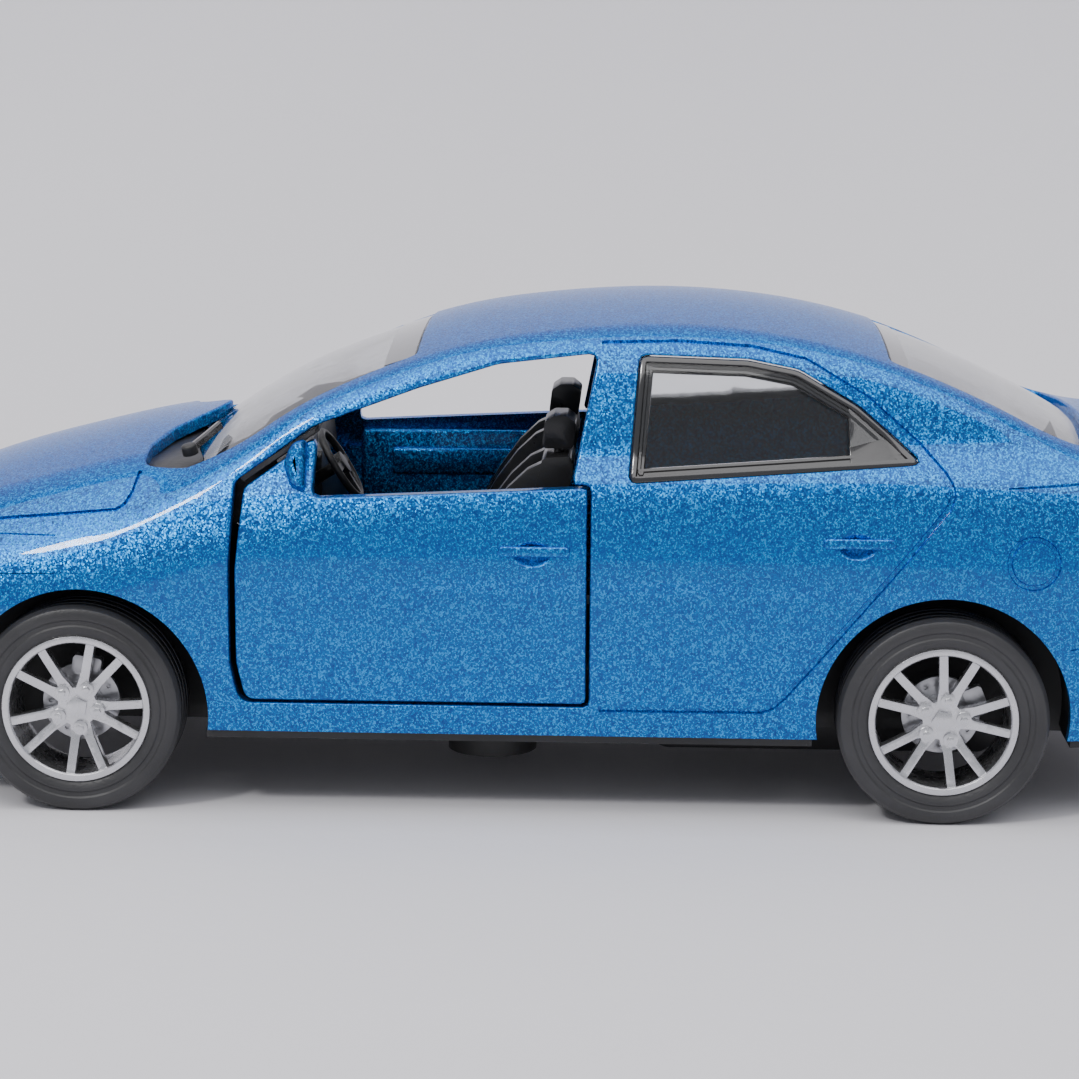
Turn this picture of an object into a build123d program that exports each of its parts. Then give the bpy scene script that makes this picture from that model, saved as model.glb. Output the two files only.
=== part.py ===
from build123d import *
import math
import os

os.makedirs("parts", exist_ok=True)

# Driving dimensions, millimetres. The nose points to -X, the driver's side is -Y, the floor is Z = 0.
AXLE_Z = 10.1
FRONT_X = -43.3
REAR_X = 39.5
TYRE_R = 10.1
SEAT_R = 7.05
SHAFT_R = 0.9
RUN = 0.06
WALL = 1.3
SILL_Z = 8.1
ARCH_R = 12.1
ARCHES = ((-42.7, 9.8), (39.5, 10.1))
HINGE_X, HINGE_Y, HINGE_R = -23.2, 25.7, 0.5

# Half-width outlines of the lower body by height: z, half width, nose x, tail x.
SIDE_LEVELS = ((4.0, 25.6, -67.0, 66.2), (8.0, 26.3, -69.4, 68.8), (12.0, 27.1, -70.5, 70.4),
               (17.0, 27.6, -70.8, 70.8), (22.0, 27.7, -70.2, 70.6), (26.0, 27.5, -68.9, 70.2),
               (30.0, 26.7, -66.6, 69.7), (34.0, 25.6, -63.5, 69.0), (40.0, 24.0, -58.0, 67.6))
NOSE_POWER, SIDE_POWER = 9.0, 2.2
OUTLINE_STEPS = (-1, -0.995, -0.98, -0.95, -0.9, -0.83, -0.72, -0.58, -0.4, -0.2,
                 0, 0.2, 0.4, 0.58, 0.72, 0.83, 0.9, 0.95, 0.98, 0.995, 1)
# Bonnet, waist and boot: x, centre height, crown, shoulder roll-off.
TOP_ROWS = ((-78.0, 11.5, 3.0, 5.0), (-74.0, 17.0, 3.0, 5.0), (-70.8, 21.8, 3.0, 5.2), (-67.5, 25.1, 2.8, 5.4),
            (-62.0, 28.1, 2.6, 5.7), (-55.7, 30.5, 2.4, 6.0), (-45.3, 33.3, 2.0, 6.3), (-38.0, 34.8, 1.8, 6.1),
            (-30.0, 35.3, 1.6, 4.6), (-20.0, 34.8, 1.1, 3.2), (0.0, 34.4, 0.5, 2.0), (20.0, 34.7, 0.4, 1.8),
            (37.0, 34.9, 0.2, 1.6), (50.0, 35.0, 0.2, 2.4), (58.0, 35.1, 0.3, 3.2), (65.0, 34.8, 0.4, 4.0),
            (70.8, 33.2, 0.4, 4.6), (78.0, 29.6, 0.4, 5.0))
# Roof centre line and greenhouse side, with the plan sweep of the two screens.
ROOF_LINE = ((-44.0, 27.0), (-38.0, 31.3), (-31.1, 36.0), (-24.7, 39.9), (-19.0, 42.3), (-14.4, 43.9), (-8.0, 45.7),
             (0.0, 46.9), (11.0, 47.6), (22.0, 47.1), (30.0, 45.8), (36.4, 44.0), (41.5, 42.1), (46.6, 39.9),
             (52.0, 37.2), (58.0, 34.0), (66.0, 29.6))
CABIN_SIDE = ((24.0, 26.0), (28.0, 25.9), (32.3, 25.4), (36.0, 24.5), (40.0, 23.3), (43.0, 22.1), (44.5, 21.3),
              (46.0, 20.3), (47.5, 18.8), (50.0, 15.0))
FRONT_SWEEP, REAR_SWEEP, ROOF_CROWN = 0.00015, 0.0001, 1.1

DOOR_OUTLINE = ((-27.6, 11.0), (-28.4, 15.0), (-28.45, 24.0), (-28.1, 32.2), (-20.3, 37.5), (-10.75, 41.0),
                (-3.2, 43.3), (6.3, 44.4), (4.0, 32.5), (5.8, 32.4), (5.8, 11.0))
DOOR_PANEL = ((-27.0, 11.3), (-27.8, 15.0), (-27.85, 24.0), (-27.2, 31.6), (-20.3, 36.5), (-20.6, 30.9),
              (5.45, 32.2), (5.5, 11.3))
REAR_WINDOW = ((9.3, 32.6), (10.2, 44.3), (20.5, 44.0), (25.3, 43.1), (30.9, 39.9), (37.2, 34.6))
COWL_EDGE = ((-37.4, 20.5), (-37.4, 15.5), (-36.1, 9.5), (-34.4, 6.0), (-32.6, 3.0), (-31.2, 0.0))
SCREEN_SIDE = ((-11.3, 18.4), (-22.0, 20.6), (-33.0, 22.0))
HEADLAMP = ((13.2, 21.4), (14.2, 24.0), (20.0, 26.3), (28.0, 26.9), (28.0, 23.8), (20.5, 20.8))
TAILLAMP = ((15.6, 27.6), (16.0, 32.0), (24.0, 33.2), (28.2, 31.6), (28.2, 27.8))
GRILLE = [(11.2, 19.4), (12.2, 23.4)]
INTAKE = [(15.5, 10.4), (13.6, 15.2)]


def outline(level, inset):
    z, half, nose, tail = level
    mid = (nose + tail) / 2
    reach = (tail - nose) / 2 - inset
    side = [(mid + reach * t, (half - inset) * (1 - abs(t) ** NOSE_POWER) ** (1 / SIDE_POWER))
            for t in OUTLINE_STEPS]
    return side + [(x, -y) for x, y in reversed(side[1:-1])]


def top_height(row, y):
    x, centre, crown, roll = row
    return centre - crown * (y / 22) ** 2 - roll * max(0, (abs(y) - 18) / 9) ** 2


def cabin_volume(inset):
    with BuildPart() as cabin:
        for x in (-46, -34, -20, -5, 10, 25, 40, 52, 63):
            taper = 2.2 * (abs(x - 5) / 45) ** 3
            with BuildSketch(Plane.YZ.offset(x)):
                with BuildLine():
                    edge = Spline([(w - taper - inset, z) for z, w in CABIN_SIDE])
                    Polyline(edge @ 1, (0, 50), (0, 24), edge @ 0)
                make_face()
                mirror(about=Plane.YZ)
        loft()
    with BuildPart() as roof:
        for y in (-30, -22, -14, -6, 6, 14, 22, 30):
            line = []
            for x, z in ROOF_LINE:
                sweep = FRONT_SWEEP if x < 11 else REAR_SWEEP
                line.append((11 + (x - 11) / (1 + sweep * y * y), z - ROOF_CROWN * (y / 20) ** 2 - inset))
            with BuildSketch(Plane.XZ.offset(-y)):
                with BuildLine():
                    edge = Spline(line)
                    Polyline(edge @ 1, (62, 20), (-40, 20), edge @ 0)
                make_face()
        loft()
        add(cabin.part, mode=Mode.INTERSECT)
    return roof.part


def body_volume(inset):
    with BuildPart() as lower:
        for level in SIDE_LEVELS:
            with BuildSketch(Plane.XY.offset(level[0])):
                with BuildLine():
                    Spline(outline(level, inset), periodic=True)
                make_face()
        loft()
    with BuildPart() as whole:
        for y in (-30, -27, -24.5, -22, -19, -14, -6, 6, 14, 19, 22, 24.5, 27, 30):
            with BuildSketch(Plane.XZ.offset(-y)):
                with BuildLine():
                    edge = Spline([(row[0], top_height(row, y) - inset) for row in TOP_ROWS])
                    Polyline(edge @ 1, (78, -5), (-78, -5), edge @ 0)
                make_face()
        loft()
        add(lower.part, mode=Mode.INTERSECT)
        add(cabin_volume(inset))
    return whole.part


def mirrored(points):
    return list(points) + [(x, -y) for x, y in reversed(points) if abs(y) > 0.01]


def screen_prism(gap):
    """Upright prism over the windscreen and the rear screen, smaller all round by the gap."""
    edge = mirrored([(x + gap, y - gap if y > 0 else y) for x, y in COWL_EDGE])
    side = [(x - gap if x > -12 else x, y - gap) for x, y in SCREEN_SIDE]
    with BuildPart() as prism:
        with BuildSketch(Plane.XY.offset(26)):
            with BuildLine():
                front = Spline(edge)
                left = Spline([front @ 1] + [(x, -y) for x, y in reversed(side)])
                right = Spline([front @ 0] + [(x, y) for x, y in reversed(side)])
                Line(left @ 1, right @ 1)
            make_face()
            with BuildLine():
                top = Polyline((53.2 - gap, -19.8 + gap), (34.2 + gap, -18.6 + gap), (34.2 + gap, 18.6 - gap),
                               (53.2 - gap, 19.8 - gap))
                Spline(top @ 1, (54.2 - gap, 10), (54.5 - gap, 0), (54.2 - gap, -10), top @ 0)
            make_face()
        extrude(amount=24)
    return prism.part


# ---------------------------------------------------------------- painted shell
outer = body_volume(0)
inner = body_volume(WALL)

with BuildPart() as shell:
    add(outer)
    add(inner, mode=Mode.SUBTRACT)
    with Locations((0, 0, SILL_Z - 10)):
        Box(160, 70, 20, mode=Mode.SUBTRACT)
    for x, z in ARCHES:
        with Locations((x, 0, z)):
            Cylinder(ARCH_R, 70, rotation=(90, 0, 0), mode=Mode.SUBTRACT)

with BuildPart() as body:
    add(shell.part)
    with BuildSketch(Plane.XZ.offset(-35)):
        with BuildLine():
            Polyline(DOOR_OUTLINE, close=True)
        make_face()
        with BuildLine():
            Polyline(REAR_WINDOW, close=True)
        make_face()
    extrude(amount=70, mode=Mode.SUBTRACT)
    add(screen_prism(0.0), mode=Mode.SUBTRACT)
    # screw posts under the bonnet and the boot
    for x, top_z in ((-60.5, 28.1), (60.5, 34.3)):
        with BuildSketch(Plane.XY.offset(SILL_Z + 0.1)):
            with Locations((x, 0)):
                Circle(2.4)
        extrude(amount=top_z - SILL_Z - 0.1)
        with BuildSketch(Plane.XY.offset(SILL_Z + 0.1)):
            with Locations((x, 0)):
                Circle(1.02)
        extrude(amount=9, mode=Mode.SUBTRACT)
    # rear door pulls
    for side in (-1, 1):
        with BuildSketch(Plane.XZ.offset(side * 26.3)):
            with Locations((31.1, 27.3)):
                SlotOverall(6.8, 1.0)
        extrude(amount=side * 1.65)
    # lamp and grille seats
    for side in (-1, 1):
        with BuildSketch(Plane.YZ.offset(-76)):
            with BuildLine():
                Polyline([(side * y, z) for y, z in HEADLAMP], close=True)
            make_face()
        extrude(amount=18, mode=Mode.SUBTRACT)
        with BuildSketch(Plane.YZ.offset(61)):
            with BuildLine():
                Polyline([(side * y, z) for y, z in TAILLAMP], close=True)
            make_face()
        extrude(amount=14, mode=Mode.SUBTRACT)
    with BuildSketch(Plane.YZ.offset(-76)):
        for shape in (GRILLE, INTAKE):
            with BuildLine():
                Polyline(shape + [(-y, z) for y, z in reversed(shape)], close=True)
            make_face()
    extrude(amount=12, mode=Mode.SUBTRACT)
body.part.label = "body_shell"
export_step(body.part, "parts/body_shell.step")

# ---------------------------------------------------------------- doors
with BuildPart() as door:
    with BuildSketch(Plane.XZ.offset(20)):
        with BuildLine():
            Polyline(DOOR_PANEL, close=True)
        make_face()
    extrude(amount=12)
    add(shell.part, mode=Mode.INTERSECT)
    # inner casting with arm rest, kept clear of the hinge lug
    with BuildSketch(Plane.XZ.offset(24.75)):
        with BuildLine():
            Polyline((-20.5, 13.2), (-20.5, 29.6), (3.6, 30.6), (3.6, 13.2), close=True)
        make_face()
    extrude(amount=1.75)
    with BuildSketch(Plane.XZ.offset(23.9)):
        with Locations((-8.6, 26.4)):
            RectangleRounded(17.0, 3.0, 1.2)
        with Locations((-5.0, 26.4)):
            RectangleRounded(6.0, 1.5, 0.7, mode=Mode.SUBTRACT)
    extrude(amount=0.9)
    # hinge knuckles above and below the lug
    for z, tall in ((15.4, 4.5), (24.1, 3.6)):
        with BuildSketch(Plane.XY.offset(z)):
            with Locations((HINGE_X, -HINGE_Y)):
                Circle(1.25)
            with Locations((HINGE_X + 2.0, -HINGE_Y - 0.1)):
                Rectangle(4.0, 1.9)
            with Locations((HINGE_X, -HINGE_Y - 0.75)):
                Rectangle(1.8, 1.2)
        extrude(amount=tall)
    with Locations((HINGE_X, -HINGE_Y, 22.0)):
        Cylinder(HINGE_R + RUN, 14.0, mode=Mode.SUBTRACT)
        Cylinder(1.5, 4.2, mode=Mode.SUBTRACT)
    # half-round mirror on the sail panel and pull handle on the skin
    with BuildSketch(Plane.XZ.offset(24.6)):
        with BuildLine():
            flat = Line((-21.2, 31.2), (-21.2, 36.2))
            Spline(flat @ 1, (-22.7, 35.4), (-23.3, 33.7), (-22.7, 32.0), flat @ 0)
        make_face()
    extrude(amount=2.6)
    with BuildSketch(Plane.XZ.offset(26.9)):
        with Locations((0.5, 26.2)):
            SlotOverall(6.8, 1.0)
    extrude(amount=1.15)

left_door = door.part
left_door.label = "left_door"
export_step(left_door, "parts/left_door.step")
right_door = mirror(left_door, about=Plane.XZ)
right_door.label = "right_door"
export_step(right_door, "parts/right_door.step")

for name, side in (("left", -1), ("right", 1)):
    with BuildPart() as pin:
        with BuildSketch(Plane.XY.offset(15.6)):
            with Locations((HINGE_X, side * HINGE_Y)):
                Circle(HINGE_R)
        extrude(amount=11.9)
        chamfer(pin.edges().filter_by(GeomType.CIRCLE), length=0.12)
    pin.part.label = name + "_hinge_pin"
    export_step(pin.part, "parts/" + name + "_hinge_pin.step")

# ---------------------------------------------------------------- lamps and grilles, cut from the same skin
def skin_patch(name, start, depth, points):
    with BuildPart() as patch:
        with BuildSketch(Plane.YZ.offset(start)):
            with BuildLine():
                Polyline(points, close=True)
            make_face()
            offset(amount=-0.08)
        extrude(amount=depth)
        add(shell.part, mode=Mode.INTERSECT)
    patch.part.label = name
    return patch.part


for name, side in (("left", -1), ("right", 1)):
    lens = skin_patch(name + "_headlight", -76, 18, [(side * y, z) for y, z in HEADLAMP])
    export_step(lens, "parts/" + name + "_headlight.step")
    lens = skin_patch(name + "_tail_light", 61, 14, [(side * y, z) for y, z in TAILLAMP])
    export_step(lens, "parts/" + name + "_tail_light.step")

for name, shape, rows in (("upper_grille", GRILLE, (20.3, 21.4, 22.5)), ("lower_grille", INTAKE, (11.7, 12.8, 13.9))):
    with BuildPart() as grille:
        add(skin_patch(name, -76, 12, shape + [(-y, z) for y, z in reversed(shape)]))
        with Locations(*[(-70, y, z) for z in rows for y in (-7.5, -4.5, -1.5, 1.5, 4.5, 7.5)]):
            Box(9, 2.5, 0.6, mode=Mode.SUBTRACT)
    grille.part.label = name
    export_step(grille.part, "parts/" + name + ".step")

# ---------------------------------------------------------------- clear moulding
with BuildPart() as side_prism:
    with BuildSketch(Plane.XZ.offset(-35)):
        with BuildLine():
            Polyline(REAR_WINDOW, close=True)
        make_face()
        offset(amount=-0.08)
    extrude(amount=70)

with BuildPart() as panes:
    add(screen_prism(0.08))
    add(side_prism.part)
    add(cabin_volume(0.35), mode=Mode.INTERSECT)

with BuildPart() as glazing:
    add(cabin_volume(WALL + 0.06))
    add(panes.part)
    add(cabin_volume(WALL + 0.86), mode=Mode.SUBTRACT)
    with Locations((0, 0, 31.6 - 20)):
        Box(160, 70, 40, mode=Mode.SUBTRACT)
    with BuildSketch(Plane.XZ.offset(-35)):
        with BuildLine():
            Polyline(DOOR_OUTLINE, close=True)
        make_face()
        offset(amount=0.9)
    extrude(amount=70, mode=Mode.SUBTRACT)
    with Locations((-52.4, 0, 30)):
        Box(30, 70, 40, mode=Mode.SUBTRACT)
    with Locations((69.4, 0, 30)):
        Box(30, 70, 40, mode=Mode.SUBTRACT)
glazing.part.label = "glazing"
export_step(glazing.part, "parts/glazing.step")

# ---------------------------------------------------------------- interior
PLATE_Z0, PLATE_Z1 = 7.2, 8.05
MOTOR_HALF = 10.0
MOTOR_X0, MOTOR_X1 = 11.5, 46.5
SCREWS = (-60.5, 60.5)
MOTOR_SCREWS = (8.4, 49.6)
WELL_R = 12.35

with BuildPart() as tub:
    with BuildSketch(Plane.XZ.offset(-22.4)):
        with BuildLine():
            Polyline((-25.0, 10.2), (10.9, 10.2), (10.9, 21.95), (34.0, 21.95), (36.0, 23.6), (41.0, 34.0),
                     (50.0, 34.6), (50.0, 35.6), (38.6, 35.2), (35.9, 34.4), (32.6, 25.6), (15.0, 24.6),
                     (13.2, 23.4), (10.0, 22.9), (9.9, 11.3), (-25.0, 11.3), close=True)
        make_face()
    extrude(amount=44.8)
    for side in (-1, 1):
        with Locations((43, side * 26.5, 30)):
            Box(18, 17.0, 20, mode=Mode.SUBTRACT)
        with Locations((23, side * 26.5, 30)):
            Box(28, 11.0, 20, mode=Mode.SUBTRACT)
    for x in (-15, 3):
        for y in (-17, 17):
            with BuildSketch(Plane.XY.offset(PLATE_Z1 + 0.02)):
                with Locations((x, y)):
                    Circle(1.6)
            extrude(amount=10.3 - PLATE_Z1)
    with BuildSketch(Plane.YZ.offset(-21.5)):
        with BuildLine():
            Polyline((-3.4, 11.0), (-2.4, 16.0), (2.4, 16.0), (3.4, 11.0), close=True)
        make_face()
    extrude(amount=31)
    with BuildSketch(Plane.XY.offset(15.8)):
        with Locations((-12, 0)):
            Circle(0.45)
    extrude(amount=4.2)
    with Locations((-12, 0, 20.2)):
        Sphere(0.95)
    for side in (-1, 1):
        with Locations((-6.5, side * 21.9, 12.4)):
            Box(30, 1.0, 2.6)
    with Locations((23, 0, 25)):
        Box(16, 0.8, 1.6, mode=Mode.SUBTRACT)
    with Locations((MOTOR_SCREWS[0], 0, 10.2)):
        Cylinder(2.0, 1.2, mode=Mode.SUBTRACT)
tub.part.label = "interior_tub"
export_step(tub.part, "parts/interior_tub.step")

for name, side in (("driver", -1), ("passenger", 1)):
    with BuildPart() as seat:
        with BuildSketch(Plane.XZ.offset(-side * 11.6 - 5.2)):
            with BuildLine():
                Polyline((-13.0, 16.5), (-13.4, 19.4), (-11.5, 20.4), (-4.6, 19.2), (-2.2, 21.0), (0.9, 33.4),
                         (3.6, 33.6), (3.9, 32.2), (1.2, 20.0), (-1.0, 16.2), (-4.0, 15.6), close=True)
            make_face()
            fillet(vertices(), radius=0.55)
        extrude(amount=10.4)
        for edge_y in (-1, 1):
            with BuildSketch(Plane.XZ.offset(-side * 11.6 - edge_y * 4.2 - 0.9)):
                with BuildLine():
                    Polyline((-11.0, 19.0), (-10.5, 21.2), (-8.2, 21.4), (-6.8, 23.6), (-4.7, 27.4), (-2.5, 30.4),
                             (-0.6, 32.2), (1.4, 33.2), (2.0, 31.6), (-1.6, 19.2), close=True)
                make_face()
            extrude(amount=1.8)
        with BuildSketch(Plane.XZ.offset(-side * 11.6 - 2.9)):
            with BuildLine():
                Polyline((0.7, 34.0), (1.0, 36.6), (1.9, 37.2), (3.2, 37.2), (4.1, 36.5), (3.8, 34.0), close=True)
            make_face()
            fillet(vertices(), radius=0.5)
        extrude(amount=5.8)
        for post_y in (-1.5, 1.5):
            with BuildSketch(Plane.XY.offset(32.4)):
                with Locations((2.3, side * 11.6 + post_y)):
                    Circle(0.4)
            extrude(amount=2.6)
        for foot_x in (-11.0, -3.5):
            with BuildSketch(Plane.XY.offset(11.32)):
                with Locations((foot_x, side * 11.6)):
                    Rectangle(2.0, 8.0)
            extrude(amount=5.6)
    seat.part.label = name + "_seat"
    export_step(seat.part, "parts/" + name + "_seat.step")

STEER = Plane(origin=(-19.2, -12.0, 31.8), x_dir=(0, 1, 0), z_dir=(0.853, 0, 0.52))
with BuildPart() as dash:
    with BuildSketch(Plane.XZ.offset(-21.0)):
        with BuildLine():
            Polyline((-37.0, 29.0), (-37.0, 31.5), (-29.0, 34.6), (-25.5, 34.0), (-23.2, 32.6), (-22.8, 29.4),
                     (-24.0, 27.0), (-28.6, 27.4), close=True)
        make_face()
    extrude(amount=42)
    with BuildSketch(Plane.YZ.offset(-23.6)):
        with Locations((-12.0, 32.4)):
            RectangleRounded(9.5, 3.4, 1.0)
    extrude(amount=1.4)
    add(cabin_volume(WALL + 0.95), mode=Mode.INTERSECT)
    with Locations((-23.2, 0, 19.3)):
        Box(2.0, 42.0, 15.92)
    with BuildSketch(Plane.YZ.offset(-23.6)):
        with Locations((0.0, 28.2)):
            RectangleRounded(7.0, 7.0, 0.8)
    extrude(amount=1.6)
    with BuildSketch(Plane.XY.offset(20.02)):
        for side in (-1, 1):
            with Locations((HINGE_X, side * 23.2)):
                Rectangle(2.0, 5.0)
            with Locations((HINGE_X, side * HINGE_Y)):
                Circle(1.0)
    extrude(amount=3.96)
    with Locations(*[(HINGE_X, side * HINGE_Y, 22) for side in (-1, 1)]):
        Cylinder(HINGE_R + 0.01, 6, mode=Mode.SUBTRACT)
    # strip that closes the slot between the pillar and the door's sail panel
    for side in (-1, 1):
        with BuildSketch(Plane.XZ.offset(-side * 24.1)):
            with BuildLine():
                Polyline((-27.75, 32.35), (-27.3, 31.95), (-20.5, 36.75), (-20.4, 37.2), close=True)
            make_face()
        extrude(amount=side * 3.6)
        with BuildSketch(Plane.XZ.offset(-side * 20.9)):
            with BuildLine():
                Polyline((-28.4, 28.0), (-28.2, 32.0), (-20.4, 37.2), (-20.4, 36.4), (-25.0, 33.2), (-25.0, 28.0),
                         close=True)
            make_face()
        extrude(amount=side * 0.9)
    with BuildSketch(STEER.offset(-3.0)):
        Circle(0.62)
    extrude(amount=-4.6, mode=Mode.SUBTRACT)
dash.part.label = "dashboard"
export_step(dash.part, "parts/dashboard.step")

with BuildPart() as steering:
    with Locations(STEER):
        Torus(3.65, 0.36)
        Cylinder(1.15, 1.0)
    with BuildSketch(STEER.offset(-0.3)):
        for turn in (0, 180, 270):
            with Locations(Rotation(0, 0, turn)):
                with Locations((1.9, 0)):
                    Rectangle(3.6, 0.8)
    extrude(amount=0.6)
    with BuildSketch(STEER):
        Circle(0.6)
    extrude(amount=-7.2)
steering.part.label = "steering_wheel"
export_step(steering.part, "parts/steering_wheel.step")

with BuildPart() as cowl:
    for y in (-30, -27, -24.5, -22, -19, -14, -6, 6, 14, 19, 22, 24.5, 27, 30):
        with BuildSketch(Plane.XZ.offset(-y)):
            with BuildLine():
                edge = Spline([(row[0], top_height(row, y) - WALL - 0.06) for row in TOP_ROWS])
                Polyline(edge @ 1, (78, -5), (-78, -5), edge @ 0)
            make_face()
    loft()
    with Locations((-34.0, 0, 33.4)):
        Box(11.0, 45.0, 8.0, mode=Mode.INTERSECT)
    add(cabin_volume(0.25), mode=Mode.SUBTRACT)
cowl.part.label = "cowl_panel"
export_step(cowl.part, "parts/cowl_panel.step")

# ---------------------------------------------------------------- chassis
with BuildPart() as chassis:
    with BuildSketch(Plane.XY.offset(PLATE_Z0)):
        with BuildLine():
            Spline(outline(SIDE_LEVELS[1], 0.9), periodic=True)
        make_face()
    extrude(amount=PLATE_Z1 - PLATE_Z0)
    with BuildSketch(Plane.XY.offset(PLATE_Z1 - 0.2)):
        with BuildLine():
            Spline(outline(SIDE_LEVELS[1], 1.6), periodic=True)
        make_face()
        with BuildLine():
            Spline(outline(SIDE_LEVELS[1], 2.6), periodic=True)
        make_face(mode=Mode.SUBTRACT)
    extrude(amount=1.7)
    for x, y, radius, z0 in ((-4.0, -13.0, 4.4, 3.6), (-4.0, 13.0, 4.4, 3.6), (-24.5, 0.0, 4.2, 3.6),
                             (SCREWS[0], 0.0, 3.4, 5.6), (SCREWS[1], 0.0, 3.4, 5.6),
                             (MOTOR_SCREWS[0], 0.0, 2.2, 4.6), (MOTOR_SCREWS[1], 0.0, 2.2, 4.6)):
        with BuildSketch(Plane.XY.offset(z0)):
            with Locations((x, y)):
                Circle(radius)
        extrude(amount=PLATE_Z0 - z0)
    for x in (FRONT_X, REAR_X):
        for side in (-1, 1):
            with Locations((x, side * 24, 8)):
                Box(2 * WELL_R, 12.8, 8, mode=Mode.SUBTRACT)
            with BuildSketch(Plane.XZ.offset(-side * 17.6)):
                with Locations((x, AXLE_Z)):
                    Circle(WELL_R + 0.7)
                with Locations((x, PLATE_Z1 - 10)):
                    Rectangle(40, 20, mode=Mode.SUBTRACT)
            extrude(amount=side * 0.9)
            with BuildSketch(Plane.XZ.offset(-side * 17.6)):
                with Locations((x, AXLE_Z)):
                    Circle(WELL_R + 0.7)
                    Circle(WELL_R, mode=Mode.SUBTRACT)
                with Locations((x, PLATE_Z1 - 10.2)):
                    Rectangle(40, 20, mode=Mode.SUBTRACT)
            extrude(amount=-side * 5.3)
        with Locations((x, 0, AXLE_Z)):
            Cylinder(SHAFT_R + (RUN if x < 0 else 0.5), 60, rotation=(90, 0, 0), mode=Mode.SUBTRACT)
    with Locations(((MOTOR_X0 + MOTOR_X1) / 2, 0, 7)):
        Box(MOTOR_X1 - MOTOR_X0 + 0.4, 2 * MOTOR_HALF + 0.4, 10, mode=Mode.SUBTRACT)
    for x in SCREWS:
        with Locations((x, 0, 8)):
            Cylinder(1.3, 8, mode=Mode.SUBTRACT)
        with Locations((x, 0, 5.4)):
            Cylinder(2.5, 2.8, mode=Mode.SUBTRACT)
    for x in MOTOR_SCREWS:
        with Locations((x, 0, 7.4)):
            Cylinder(0.82, 4.4, mode=Mode.SUBTRACT)
chassis.part.label = "chassis"
export_step(chassis.part, "parts/chassis.step")


def screw(x, seat_z, up, shank_r, head_r, length):
    with BuildPart() as made:
        with BuildSketch(Plane(origin=(x, 0, seat_z), z_dir=(0, 0, -up))):
            Circle(head_r)
        extrude(amount=1.1)
        fillet(made.faces().sort_by(Axis.Z)[0 if up > 0 else -1].edges(), radius=0.5)
        with BuildSketch(Plane(origin=(x, 0, seat_z - up * 1.2), z_dir=(0, 0, up))):
            Rectangle(0.45, 2.0)
            Rectangle(2.0, 0.45)
        extrude(amount=0.7, mode=Mode.SUBTRACT)
        with BuildSketch(Plane(origin=(x, 0, seat_z), z_dir=(0, 0, up))):
            Circle(shank_r)
        extrude(amount=length)
        chamfer(made.faces().sort_by(Axis.Z)[-1 if up > 0 else 0].edges(), length=0.3)
    return made.part


body_screws = Compound(label="chassis_screws", children=[screw(x, 6.79, 1, 1.0, 2.2, 8.0) for x in SCREWS])
export_step(body_screws, "parts/chassis_screws.step")
motor_screws = Compound(label="motor_screws",
                        children=[screw(x, 9.27, -1, 0.8, 1.6, 3.8) for x in MOTOR_SCREWS])
export_step(motor_screws, "parts/motor_screws.step")

# ---------------------------------------------------------------- wheels and axles
TYRE_PROFILE = ((20.9, SEAT_R), (20.6, 7.9), (20.5, 8.9), (20.75, 9.7), (21.3, TYRE_R), (26.4, TYRE_R),
                (26.95, 9.75), (27.15, 9.2), (27.15, 8.75), (27.0, 8.65), (27.0, 8.2), (27.15, 8.1),
                (27.1, 7.75), (26.85, 7.3), (26.7, SEAT_R))
RIM_PROFILE = ((20.9, 6.3), (20.9, SEAT_R - 0.02), (26.78, SEAT_R - 0.02), (26.78, 7.19), (26.98, 7.1),
               (27.0, 6.55), (26.8, 6.42), (26.2, 6.38))
DISH_PROFILE = ((24.9, 0), (24.9, 2.6), (25.4, 6.6), (26.75, 6.6), (26.62, 5.6), (26.2, 3.4), (25.95, 2.4), (25.9, 0))


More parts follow.
